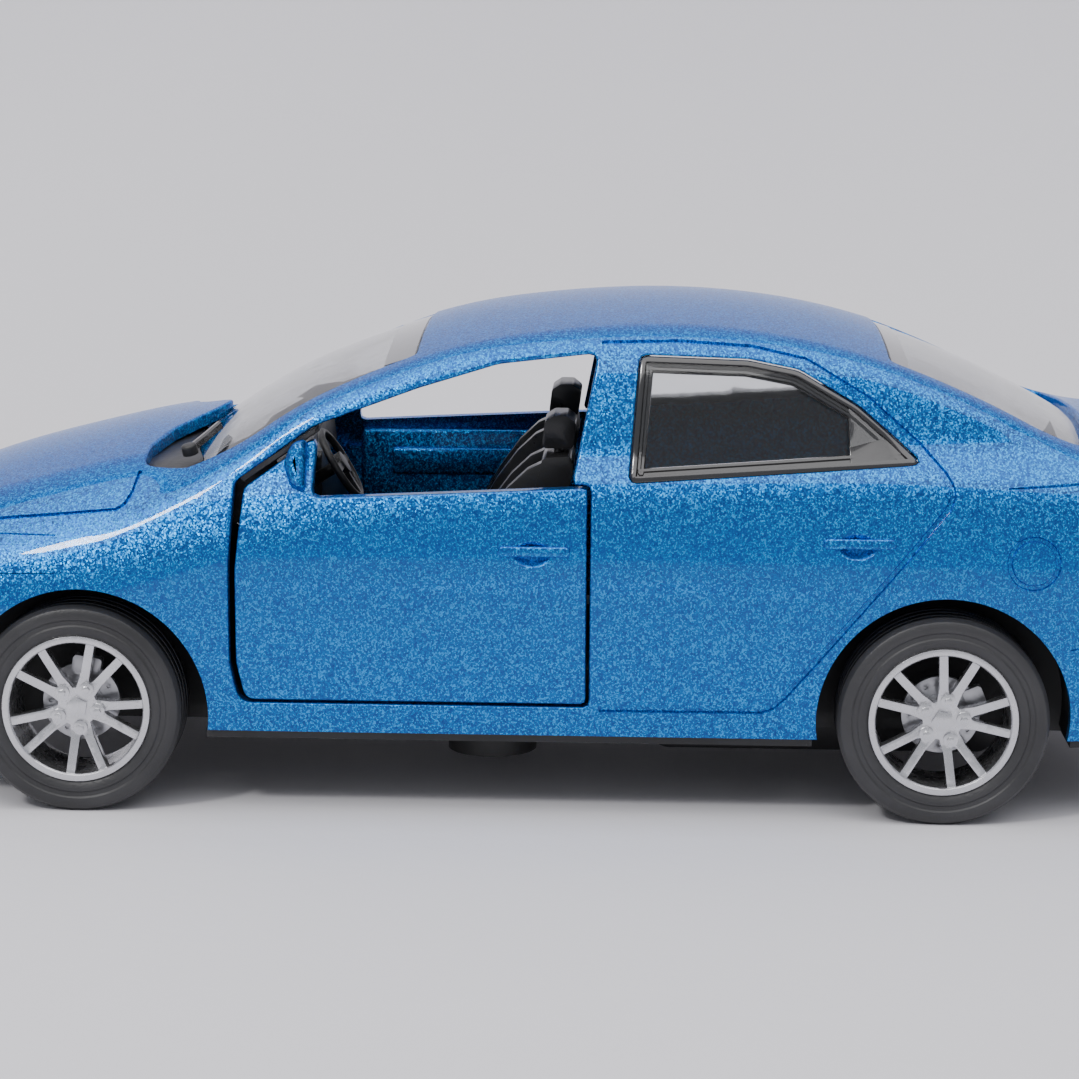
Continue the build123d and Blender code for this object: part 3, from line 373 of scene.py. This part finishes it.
def strip(name, path, axis, sign, section):
    """A bar along a path on the skin; section is a closed loop of (across, lift)."""
    path = np.asarray(path, float)
    length = np.concatenate([[0], np.cumsum(np.linalg.norm(np.diff(path, axis=0), axis=1))])
    at = np.linspace(0, length[-1], max(3, int(length[-1] / 0.4)))
    q = np.stack([np.interp(at, length, path[:, k]) for k in (0, 1)], 1)
    p, n = on_skin(q, axis, sign)
    t = unit(np.gradient(p, axis=0))
    b = unit(np.cross(n, t))
    rows = [np.array([p[i] + b[i] * u + n[i] * v for u, v in section]) for i in range(len(p))]
    return solid_of(name, rows)


def groove(name, path, axis, sign, width=0.62, depth=0.3):
    """Cutter for an engraved line."""
    h = width / 2
    return strip(name, path, axis, sign, ((-h - 0.12, 0.3), (-h, 0.0), (-h * 0.6, -depth), (h * 0.6, -depth),
                                          (h, 0.0), (h + 0.12, 0.3)))


def oval(x, z, wide, tall, sides=40):
    a = np.linspace(0, 2 * math.pi, sides, endpoint=False)
    return np.stack([x + wide / 2 * np.cos(a), z + tall / 2 * np.sin(a)], 1)


def slot_outline(x, z, wide, tall):
    x0, x1, z0, z1 = x - wide / 2, x + wide / 2, z - tall / 2, z + tall / 2
    return rounded([(x0, z0), (x0, z1), (x1, z1), (x1, z0)], tall * 0.49, 0.2)


def join(main, others):
    """Adds the other meshes to main as loose shells."""
    b = bmesh.new()
    b.from_mesh(main.data)
    for o in others:
        b.from_mesh(o.data)
    b.to_mesh(main.data)
    b.free()
    forget(others)


def box_object(name, lo, hi):
    x0, y0, z0 = lo
    x1, y1, z1 = hi
    p = [(x, y, z) for x in (x0, x1) for y in (y0, y1) for z in (z0, z1)]
    f = [(0, 1, 3, 2), (4, 6, 7, 5), (0, 4, 5, 1), (2, 3, 7, 6), (0, 2, 6, 4), (1, 5, 7, 3)]
    return outward(raw_mesh(name, p, f))


def soft_block(name, lo, hi, bevel):
    """A box with rounded edges."""
    o = box_object(name, lo, hi)
    b = bmesh.new()
    b.from_mesh(o.data)
    bmesh.ops.bevel(b, geom=list(b.edges), offset=bevel * MM, segments=3, profile=0.5, affect="EDGES")
    b.to_mesh(o.data)
    b.free()
    return o


def drum(name, x, z, radius, y0, y1, sides=128):
    """A solid cylinder along Y."""
    a = np.linspace(0, 2 * math.pi, sides, endpoint=False)
    p = [(x + radius * math.cos(t), y, z + radius * math.sin(t)) for y in (y0, y1) for t in a]
    f = [(i, (i + 1) % sides, sides + (i + 1) % sides, sides + i) for i in range(sides)]
    f += [tuple(range(sides)), tuple(reversed(range(sides, 2 * sides)))]
    return outward(raw_mesh(name, p, f))


def tube(name, x, y, outer, inner, z0, z1, sides=40):
    """An upright tube."""
    a = np.linspace(0, 2 * math.pi, sides, endpoint=False)
    c = np.stack([np.cos(a), np.sin(a)], 1)
    rings = []
    for r, z in ((outer, z0), (outer, z1), (inner, z1), (inner, z0)):
        rings.append(np.column_stack([x + r * c[:, 0], y + r * c[:, 1], np.full(sides, z)]))
    return solid_of(name, rings, True)


def boolean(o, cutters, operation="DIFFERENCE"):
    for c in cutters:
        m = o.modifiers.new("cut", "BOOLEAN")
        m.operation = operation
        m.solver = "MANIFOLD"
        m.object = c
        graph = bpy.context.evaluated_depsgraph_get()
        made = bpy.data.meshes.new_from_object(o.evaluated_get(graph))
        o.modifiers.clear()
        old = o.data
        o.data = made
        bpy.data.meshes.remove(old)


def forget(objects):
    for c in objects:
        mesh = c.data
        bpy.data.objects.remove(c)
        bpy.data.meshes.remove(mesh)


def copy_of(o, name):
    made = o.copy()
    made.data = o.data.copy()
    made.name = name
    bpy.context.scene.collection.objects.link(made)
    return made


def finish_skin(o):
    """Skin faces take the function's own normals; cut faces are smoothed by angle."""
    mesh = o.data
    mesh.shade_smooth()
    mesh.set_sharp_from_angle(angle=math.radians(38))
    corner = np.zeros(len(mesh.loops) * 3, np.float32)
    mesh.corner_normals.foreach_get("vector", corner)
    corner = corner.reshape(-1, 3).astype(float)
    co = np.zeros(len(mesh.vertices) * 3, np.float32)
    mesh.vertices.foreach_get("co", co)
    co = co.reshape(-1, 3).astype(float) / MM
    loop_vertex = np.zeros(len(mesh.loops), np.int64)
    mesh.loops.foreach_get("vertex_index", loop_vertex)
    starts = np.zeros(len(mesh.polygons), np.int64)
    counts = np.zeros(len(mesh.polygons), np.int64)
    mesh.polygons.foreach_get("loop_start", starts)
    mesh.polygons.foreach_get("loop_total", counts)
    normal = np.zeros(len(mesh.polygons) * 3, np.float32)
    mesh.polygons.foreach_get("normal", normal)
    normal = normal.reshape(-1, 3).astype(float)
    off = np.abs(skin(*co.T)) > 0.03
    grad = unit(slope_of(co))
    order = np.argsort(starts, kind="stable")
    face_of = np.repeat(order, counts[order])
    bad = np.zeros(len(starts), bool)
    np.logical_or.at(bad, face_of, off[loop_vertex])
    tilted = np.einsum("ij,ij->i", normal[face_of], grad[loop_vertex]) < 0.8
    np.logical_or.at(bad, face_of, tilted)
    use = ~bad[face_of]
    corner[use] = grad[loop_vertex][use]
    mesh.normals_split_custom_set([tuple(v) for v in corner])


def window_outline():
    return rounded(REAR_WINDOW, [0.7, 0.8, 2.0, 3.0, 4.0, 0.5])


def side_cutters():
    door = rounded(DOOR_OUTLINE, [1.5, 1.0, 3.0, 1.2, 3.0, 6.0, 6.0, 0.8, 0.35, 0.6, 0.6])
    window = window_outline()
    doors = [cutter("door_hole", door, "y", s, 0.28, s * 14.0) for s in (-1, 1)]
    return doors, [cutter("side_glass", window, "y", s, 0.22, s * 14.0) for s in (-1, 1)]


def screen_outlines():
    front = list(COWL_EDGE) + [(x, -y) for x, y in reversed(COWL_EDGE[:-1])]
    front += [(x, -y) for x, y in reversed(SCREEN_SIDE)] + list(SCREEN_SIDE)
    rear = [(53.2, -19.8), (34.2, -18.6), (34.2, 18.6), (53.2, 19.8), (54.2, 10), (54.5, 0), (54.2, -10)]
    return (rounded(front, [1.5, 3, 6, 6, 6, 8, 6, 6, 6, 3, 1.5, 1.0, 8, 1.2, 1.2, 8, 1.0]),
            rounded(rear, [1.5, 1.2, 1.2, 1.5, 8, 8, 8]))


# ---------------------------------------- painted shell and doors
def build_painted():
    outer_points, outer_faces = net(0.0, 5.0)
    inner_points, inner_faces = net(WALL, 2.0, 0.9)
    shell = outward(raw_mesh("paint_shell", outer_points, outer_faces))
    core = outward(raw_mesh("core", inner_points, inner_faces))
    floor = box_object("floor_cut", (-90, -40, -5), (90, 40, SILL_Z))
    boolean(shell, [core, floor])
    forget([core, floor])
    for x, z in ARCHES:
        arch = drum("arch", x, z, ARCH_R, -40, 40)
        boolean(shell, [arch])
        forget([arch])
    doors = {}
    panel = rounded(DOOR_PANEL, [1.2, 1.0, 3.0, 0.9, 0.6, 0.6, 0.4, 0.5])
    for name, sign in (("left_door", -1), ("right_door", 1)):
        door = copy_of(shell, name + "_skin")
        shape = cutter("panel_shape", panel, "y", sign, 0.26, sign * 16.0, keep=True)
        boolean(door, [shape], "INTERSECT")
        forget([shape])
        dent = dish("dent", oval(0.3, 25.9, DENT_WIDE, DENT_TALL), "y", sign, DENT_DEEP)
        boolean(door, [dent])
        forget([dent])
        doors[name] = door
    for group in side_cutters():
        boolean(shell, group)
        forget(group)
    front, rear = screen_outlines()
    group = [cutter("screen", outline, "z", 1, 0.25, 26.0) for outline in (front, rear)]
    boolean(shell, group)
    forget(group)
    group = []
    for s in (-1, 1):
        lamp = rounded([(s * y, z) for y, z in HEADLAMP], [0.8, 1.5, 3, 1.0, 1.0, 3])
        group.append(cutter("lamp", lamp, "x", -1, 0.15, -58.0))
        tail = rounded([(s * y, z) for y, z in TAILLAMP], [0.8, 1.2, 2, 1.0, 1.0])
        group.append(cutter("tail", tail, "x", 1, 0.15, 61.0))
    for shape in (GRILLE, INTAKE):
        mouth = rounded(list(shape) + [(-y, z) for y, z in reversed(shape)], 0.8)
        group.append(cutter("mouth", mouth, "x", -1, 0.2, -64.0))
    ring = np.linspace(0, 2 * math.pi * 0.985, 60)
    for s in (-1, 1):
        group.append(groove("rear_door", REAR_DOOR_LINE, "y", s))
        group.append(groove("bonnet_line", BONNET_LINE, "y", s, 0.42, 0.3))
        group.append(groove("boot_line", BOOT_LINE, "y", s, 0.4, 0.25))
        group.append(groove("bumper_rear", REAR_BUMPER_LINE, "y", s, 0.4, 0.22))
        group.append(groove("bumper_front", FRONT_BUMPER_LINE, "y", s, 0.4, 0.22))
        group.append(dish("dent", oval(30.9, 27.0, DENT_WIDE, DENT_TALL), "y", s, DENT_DEEP))
    cap = np.stack([FUEL_CAP[0] + FUEL_CAP_R * np.cos(ring), FUEL_CAP[1] + FUEL_CAP_R * np.sin(ring)], 1)
    group.append(groove("fuel_cap", cap, "y", -1, 0.55, 0.22))
    for c in group:
        boolean(shell, [c])
    forget(group)
    return shell, doors


def pull_bar(x, z, s):
    outline = slot_outline(x, z, PULL_WIDE, PULL_TALL)
    return raised("pull", outline, "y", s, PULL_LOW, PULL_HIGH, PULL_ROUND)


def side_block(name, s, x, y, z, bevel):
    """A soft box on side s; each of x, y and z is a low and a high value, y measured from the middle."""
    y0, y1 = sorted((s * y[0], s * y[1]))
    return soft_block(name, (x[0], y0, z[0]), (x[1], y1, z[1]), bevel)


def fit_extras(shell, doors):
    """Pulls, mirrors, inner castings, hinge knuckles and screw posts."""
    for s in (-1, 1):
        door = doors["left_door" if s < 0 else "right_door"]
        pull = pull_bar(0.5, 26.2, s)
        outline = rounded(MIRROR, [0.5, 1.5, 1.5, 1.5, 0.5], 0.25)
        mirror = raised("mirror", outline, "y", s, -0.9, 1.25, 0.95)
        inner = side_block("inner", s, (-20.5, 3.6), (24.75, 26.4), (13.2, 29.9), 0.5)
        rest = side_block("rest", s, (-17.1, -0.1), (23.9, 24.9), (24.9, 27.9), 0.42)
        knuckles = []
        for z0, z1 in ((15.4, 19.9), (24.1, 27.7)):
            knuckles.append(tube("knuckle", HINGE[0], s * HINGE[1], 1.25, 0.56, z0, z1))
            y0, y1 = sorted((s * (HINGE[1] - 0.2), s * (HINGE[1] + 1.0)))
            knuckles.append(box_object("arm", (HINGE[0] + 0.9, y0, z0), (HINGE[0] + 4.0, y1, z1)))
        join(door, [pull, mirror, inner, rest] + knuckles)
        join(shell, [pull_bar(31.1, 27.3, s)])
    join(shell, [tube("post", x, 0, POST_OUTER, POST_BORE, SILL_Z + 0.1, top)
                 for x, top in ((-60.5, 27.6), (60.5, 33.8))])


shell, doors = build_painted()
fit_extras(shell, doors)
for o in (shell, *doors.values()):
    finish_skin(o)


# ---------------------------------------- materials
def nodes_of(name):
    m = bpy.data.materials.new(name)
    m.use_nodes = True
    t = m.node_tree
    return m, t, t.nodes["Principled BSDF"]


def object_coords(t):
    return t.nodes.new("ShaderNodeTexCoord").outputs["Object"]


def noise(t, scale, detail):
    n = t.nodes.new("ShaderNodeTexNoise")
    n.inputs["Scale"].default_value = scale
    n.inputs["Detail"].default_value = detail
    t.links.new(object_coords(t), n.inputs["Vector"])
    return n


def ramp(t, value, stops):
    """Colours along a value between 0 and 1."""
    n = t.nodes.new("ShaderNodeValToRGB")
    while len(n.color_ramp.elements) < len(stops):
        n.color_ramp.elements.new(0.5)
    for e, (pos, colour) in zip(n.color_ramp.elements, stops):
        e.position = pos
        e.color = (*colour, 1)
    t.links.new(value, n.inputs["Fac"])
    return n.outputs["Color"]


def spread(t, value, low, high):
    """A value between 0 and 1 stretched to low to high."""
    n = t.nodes.new("ShaderNodeMapRange")
    n.inputs["To Min"].default_value = low
    n.inputs["To Max"].default_value = high
    t.links.new(value, n.inputs["Value"])
    return n.outputs["Result"]


def bump(t, height, strength, distance):
    n = t.nodes.new("ShaderNodeBump")
    n.inputs["Strength"].default_value = strength
    n.inputs["Distance"].default_value = distance
    t.links.new(height, n.inputs["Height"])
    return n.outputs["Normal"]


def paint_material():
    """Blue metallic paint: two sizes of flake that lean and shine on their own, under a clear coat."""
    m, t, b = nodes_of("body_paint")
    flakes = t.nodes.new("ShaderNodeTexVoronoi")
    flakes.inputs["Scale"].default_value = 6800.0
    t.links.new(object_coords(t), flakes.inputs["Vector"])
    fine = t.nodes.new("ShaderNodeTexVoronoi")
    fine.inputs["Scale"].default_value = 11000.0
    t.links.new(object_coords(t), fine.inputs["Vector"])
    tilt = t.nodes.new("ShaderNodeVectorMath")
    tilt.operation = "MULTIPLY_ADD"
    t.links.new(flakes.outputs["Color"], tilt.inputs[0])
    tilt.inputs[1].default_value = (0.30, 0.30, 0.30)
    tilt.inputs[2].default_value = (-0.15, -0.15, -0.15)
    geo = t.nodes.new("ShaderNodeNewGeometry")
    lean = t.nodes.new("ShaderNodeVectorMath")
    lean.operation = "ADD"
    t.links.new(geo.outputs["Normal"], lean.inputs[0])
    t.links.new(tilt.outputs[0], lean.inputs[1])
    norm = t.nodes.new("ShaderNodeVectorMath")
    norm.operation = "NORMALIZE"
    t.links.new(lean.outputs[0], norm.inputs[0])
    t.links.new(norm.outputs[0], b.inputs["Normal"])
    sparkle = t.nodes.new("ShaderNodeSeparateColor")
    t.links.new(flakes.outputs["Color"], sparkle.inputs[0])
    mixed = t.nodes.new("ShaderNodeSeparateColor")
    t.links.new(fine.outputs["Color"], mixed.inputs[0])
    both = t.nodes.new("ShaderNodeMath")
    both.operation = "MULTIPLY_ADD"
    t.links.new(mixed.outputs[1], both.inputs[0])
    both.inputs[1].default_value = 0.35
    t.links.new(sparkle.outputs[2], both.inputs[2])
    colour = ramp(t, both.outputs[0], ((0.0, (0.001, 0.046, 0.230)), (0.55, (0.002, 0.096, 0.370)),
                                       (0.9, (0.003, 0.175, 0.540)), (1.0, (0.008, 0.320, 0.800))))
    t.links.new(colour, b.inputs["Base Color"])
    b.inputs["Metallic"].default_value = 0.85
    b.inputs["Roughness"].default_value = 0.36
    b.inputs["Specular Tint"].default_value = (0.10, 0.45, 1.0, 1)
    b.inputs["Coat Weight"].default_value = 0.5
    b.inputs["Coat Roughness"].default_value = 0.03
    b.inputs["Coat IOR"].default_value = 1.5
    peel = noise(t, 420.0, 2.0)
    t.links.new(bump(t, peel.outputs["Fac"], 0.05, 0.0001), b.inputs["Coat Normal"])
    return m


def plastic(name, colour, rough, grain, scale, vary=0.25, coat=0.0):
    m, t, b = nodes_of(name)
    wide = noise(t, 130.0, 4.0)
    dark, light = (tuple(c * (1 + change) for c in colour) for change in (-vary, vary))
    t.links.new(ramp(t, wide.outputs["Fac"], ((0.3, dark), (0.7, light))), b.inputs["Base Color"])
    wear = noise(t, 700.0, 3.0)
    t.links.new(spread(t, wear.outputs["Fac"], rough - 0.07, rough + 0.07), b.inputs["Roughness"])
    t.links.new(bump(t, noise(t, scale, 4.0).outputs["Fac"], grain, 0.00006), b.inputs["Normal"])
    b.inputs["Coat Weight"].default_value = coat
    return m


def metal(name, colour, rough, grain=0.15, scale=2500.0, metallic=1.0):
    m, t, b = nodes_of(name)
    wide = noise(t, 260.0, 4.0)
    dark = tuple(c * 0.86 for c in colour)
    t.links.new(ramp(t, wide.outputs["Fac"], ((0.3, dark), (0.7, colour))), b.inputs["Base Color"])
    wear = noise(t, 900.0, 4.0)
    t.links.new(spread(t, wear.outputs["Fac"], rough - 0.08, rough + 0.08), b.inputs["Roughness"])
    t.links.new(bump(t, noise(t, scale, 3.0).outputs["Fac"], grain, 0.00003), b.inputs["Normal"])
    b.inputs["Metallic"].default_value = metallic
    return m


def clear(name, colour, rough):
    m, t, b = nodes_of(name)
    dark = tuple(c * 0.97 for c in colour)
    wide = noise(t, 90.0, 2.0)
    t.links.new(ramp(t, wide.outputs["Fac"], ((0.3, dark), (0.7, colour))), b.inputs["Base Color"])
    t.links.new(spread(t, noise(t, 500.0, 3.0).outputs["Fac"], rough, rough + 0.03), b.inputs["Roughness"])
    t.links.new(bump(t, noise(t, 160.0, 2.0).outputs["Fac"], 0.12, 0.0001), b.inputs["Normal"])
    b.inputs["Transmission Weight"].default_value = 1.0
    b.inputs["IOR"].default_value = 1.46
    return m


M = {
    "paint": paint_material(),
    "interior": plastic("interior_black", (0.020, 0.020, 0.021), 0.42, 0.5, 2600.0),
    "seat": plastic("seat_black", (0.020, 0.020, 0.021), 0.30, 0.3, 3500.0),
    "chassis": plastic("chassis_black", (0.018, 0.018, 0.018), 0.5, 0.4, 2600.0),
    "case": plastic("motor_case_black", (0.022, 0.022, 0.023), 0.38, 0.3, 2600.0),
    "tyre": plastic("tyre_rubber", (0.030, 0.030, 0.032), 0.42, 0.7, 2600.0, 0.3),
    "gear": plastic("gear_white", (0.80, 0.79, 0.75), 0.35, 0.1, 1500.0, 0.04),
    "rim": metal("rim_silver", (0.66, 0.66, 0.68), 0.27, 0.5, 1900.0, 0.95),
    "disc": metal("disc_silver", (0.50, 0.50, 0.52), 0.34, 0.3, 2200.0, 0.9),
    "steel": metal("plated_steel", (0.60, 0.60, 0.59), 0.30),
    "spring": metal("spring_steel", (0.38, 0.41, 0.46), 0.28),
    "trim": plastic("clear_over_black", (0.012, 0.012, 0.013), 0.16, 0.15, 900.0, 0.2, 1.0),
    "glass": clear("clear_plastic", (0.96, 0.97, 0.98), 0.03),
    "lens": clear("clear_lens", (0.97, 0.97, 0.98), 0.04),
    "red": clear("red_lens", (0.62, 0.02, 0.02), 0.06),
}


def dress(node, material, bevel=0.0, angle=30):
    """A CAD node keeps its shape and gets a material, welded smooth shading and small rounded edges."""
    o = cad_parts[node]
    o.data.materials.clear()
    o.data.materials.append(material)
    for name in ("custom_normal", "sharp_face", "sharp_edge"):
        if name in o.data.attributes:
            o.data.attributes.remove(o.data.attributes[name])
    o.data.shade_smooth()
    weld = o.modifiers.new("weld", "WELD")
    weld.merge_threshold = 2e-6
    if bevel:
        m = o.modifiers.new("edge", "BEVEL")
        m.width = bevel * MM
        m.segments = 2
        m.limit_method = "ANGLE"
        m.angle_limit = math.radians(35)
        m.use_clamp_overlap = True
        m.harden_normals = False
    split = o.modifiers.new("crease", "EDGE_SPLIT")
    split.split_angle = math.radians(angle)


CORNERS = ("front_left", "front_right", "rear_left", "rear_right")
for c in CORNERS:
    dress(c + "_tyre", M["tyre"], 0.08)
    dress(c + "_rim", M["rim"], 0.07)
    dress(c + "_brake_disc", M["disc"], 0.06)
for n in ("interior_tub", "dashboard", "steering_wheel", "cowl_panel", "upper_grille", "lower_grille"):
    dress(n, M["interior"], 0.12)
for n in ("driver_seat", "passenger_seat"):
    dress(n, M["seat"], 0.45)
dress("chassis", M["chassis"], 0.1)
for n in ("motor_case_left", "motor_case_right"):
    dress(n, M["case"], 0.12)
for n in ("chassis_screws", "motor_screws", "left_hinge_pin", "right_hinge_pin", "idler_pin", "spring_pin",
          "front_axle", "rear_axle"):
    dress(n, M["steel"], 0.0)
dress("mainspring", M["spring"], 0.0)
for n in ("axle_pinion", "idler_gear", "spring_gear"):
    dress(n, M["gear"], 0.0)
for n in ("left_headlight", "right_headlight"):
    dress(n, M["lens"], 0.0)
for n in ("left_tail_light", "right_tail_light"):
    dress(n, M["red"], 0.0)
dress("glazing", M["glass"], 0.0)

shell.name = "body_shell_paint"
shell.data.materials.clear()
shell.data.materials.append(M["paint"])
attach(shell, "car")
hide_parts("body_shell")
for name, o in doors.items():
    o.data.materials.clear()
    o.data.materials.append(M["paint"])
    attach(o, name + "_body")
    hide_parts(name)


def piece(o, material):
    """A small part on the car's shell."""
    o.data.materials.append(material)
    o.data.shade_smooth()
    o.data.set_sharp_from_angle(angle=math.radians(40))
    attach(o, "car")


def fit_small_parts():
    """Rear window frames with their quarter lights, the screens' upper bands and the wiper."""
    window = window_outline()
    quarter = rounded(((30.2, 34.5), (29.9, 39.9), (30.9, 39.3), (36.2, 34.95)), [0.3, 0.3, 0.5, 0.3], 0.3)
    for side, s in (("left", -1), ("right", 1)):
        frame_loop = frame_of(side + "_window_frame", window, "y", s, FRAME_SECTION)
        piece(frame_loop, M["trim"])
        light = raised(side + "_quarter_light", quarter, "y", s, -1.25, -0.42, 0.12)
        piece(light, M["trim"])
    for name, x0, x1, half in (("front", -14.6, -11.5, 17.8), ("rear", 34.4, 36.2, 17.9)):
        w = (x1 - x0) / 2
        path = [((x0 + x1) / 2, y) for y in np.linspace(-half, half, 24)]
        section = ((-w, -0.36), (-w, -0.25), (w, -0.25), (w, -0.36))
        piece(strip(name + "_screen_band", path, "z", 1, section), M["trim"])
    section = ((-0.28, -0.5), (-0.28, 0.1), (-0.12, 0.28), (0.12, 0.28), (0.28, 0.1), (0.28, -0.5))
    arm = strip("wiper_arm", ((-33.4, -19.0), (-32.2, -15.6), (-31.2, -12.4)), "z", 1, section)
    piece(arm, M["trim"])
    pivot = raised("wiper_pivot", oval(-33.2, -18.9, 1.5, 1.3, 24), "z", 1, -0.5, 0.55, 0.3)
    piece(pivot, M["interior"])


fit_small_parts()


# ---------------------------------------- paper sweep, light and camera
SWEEP_FRONT, SWEEP_BEND, BEND_R, SWEEP_HALF = -900.0, 140.0, 90, 1200.0


def sweep():
    """Pale paper: the floor, bent up into a wall behind the car."""
    m, t, b = nodes_of("paper")
    tint = ramp(t, noise(t, 5.0, 5.0).outputs["Fac"], ((0.3, (0.70, 0.69, 0.72)), (0.7, (0.74, 0.73, 0.76))))
    t.links.new(tint, b.inputs["Base Color"])
    b.inputs["Roughness"].default_value = 0.75
    b.inputs["Specular IOR Level"].default_value = 0.25
    t.links.new(bump(t, noise(t, 350.0, 6.0).outputs["Fac"], 0.25, 0.0003), b.inputs["Normal"])
    profile = [(SWEEP_FRONT, 0.0), (SWEEP_BEND, 0.0)]
    for a in np.radians(np.linspace(0, 90, 17)[1:]):
        profile.append((SWEEP_BEND + BEND_R * math.sin(a), BEND_R - BEND_R * math.cos(a)))
    profile.append((SWEEP_BEND + BEND_R, 900.0))
    points = [(x, y, z) for y, z in profile for x in (-SWEEP_HALF, SWEEP_HALF)]
    faces = [(2 * i, 2 * i + 1, 2 * i + 3, 2 * i + 2) for i in range(len(profile) - 1)]
    o = raw_mesh("paper_sweep", points, faces)
    o.data.materials.append(m)
    o.data.shade_smooth()


def area(name, place, target, size, power, colour, shape="RECTANGLE"):
    """An area light of the given size at place, facing target, all in millimetres; power in watts."""
    data = bpy.data.lights.new(name, "AREA")
    data.shape = shape
    data.size, data.size_y = size[0] * MM, size[1] * MM
    data.energy = power
    data.color = colour
    o = bpy.data.objects.new(name, data)
    o.location = Vector(place) * MM
    o.rotation_euler = (Vector(target) - Vector(place)).to_track_quat("-Z", "Y").to_euler()
    bpy.context.scene.collection.objects.link(o)


def light_room():
    area("ceiling", (0, -230, 700), (0, 60, 0), (1100, 800), 5.9, (1.0, 0.985, 0.985))
    area("key", (-330, -420, 520), (-30, 0, 10), (85, 85), 1.5, (1.0, 0.99, 0.97), "DISK")
    world = bpy.data.worlds.new("room")
    bpy.context.scene.world = world
    world.use_nodes = True
    back = world.node_tree.nodes["Background"]
    back.inputs["Color"].default_value = (0.80, 0.82, 0.88, 1)
    back.inputs["Strength"].default_value = 0.66


# metres, radians and the millimetres of the lens
CAMERA_PLACE = (0.010604, -0.317919, 0.081433)
CAMERA_YAW, CAMERA_PITCH, CAMERA_ROLL = -0.033, 0.184, 0.008
LENS, SENSOR = 104.81, 36


def place_camera():
    yaw, pitch, roll = CAMERA_YAW, CAMERA_PITCH, CAMERA_ROLL
    fwd = Vector((math.sin(yaw) * math.cos(pitch), math.cos(yaw) * math.cos(pitch), -math.sin(pitch)))
    right = Vector((math.cos(yaw), -math.sin(yaw), 0))
    up = right.cross(fwd)
    rolled_right = right * math.cos(roll) + up * math.sin(roll)
    rolled_up = -right * math.sin(roll) + up * math.cos(roll)
    data = bpy.data.cameras.new("camera")
    data.lens = LENS
    data.sensor_width = SENSOR
    data.clip_start = 0.01
    camera = bpy.data.objects.new("camera", data)
    bpy.context.scene.collection.objects.link(camera)
    rows = zip(rolled_right, rolled_up, -fwd, CAMERA_PLACE)
    camera.matrix_world = Matrix((*rows, (0, 0, 0, 1)))
    bpy.context.scene.camera = camera


sweep()
light_room()
place_camera()
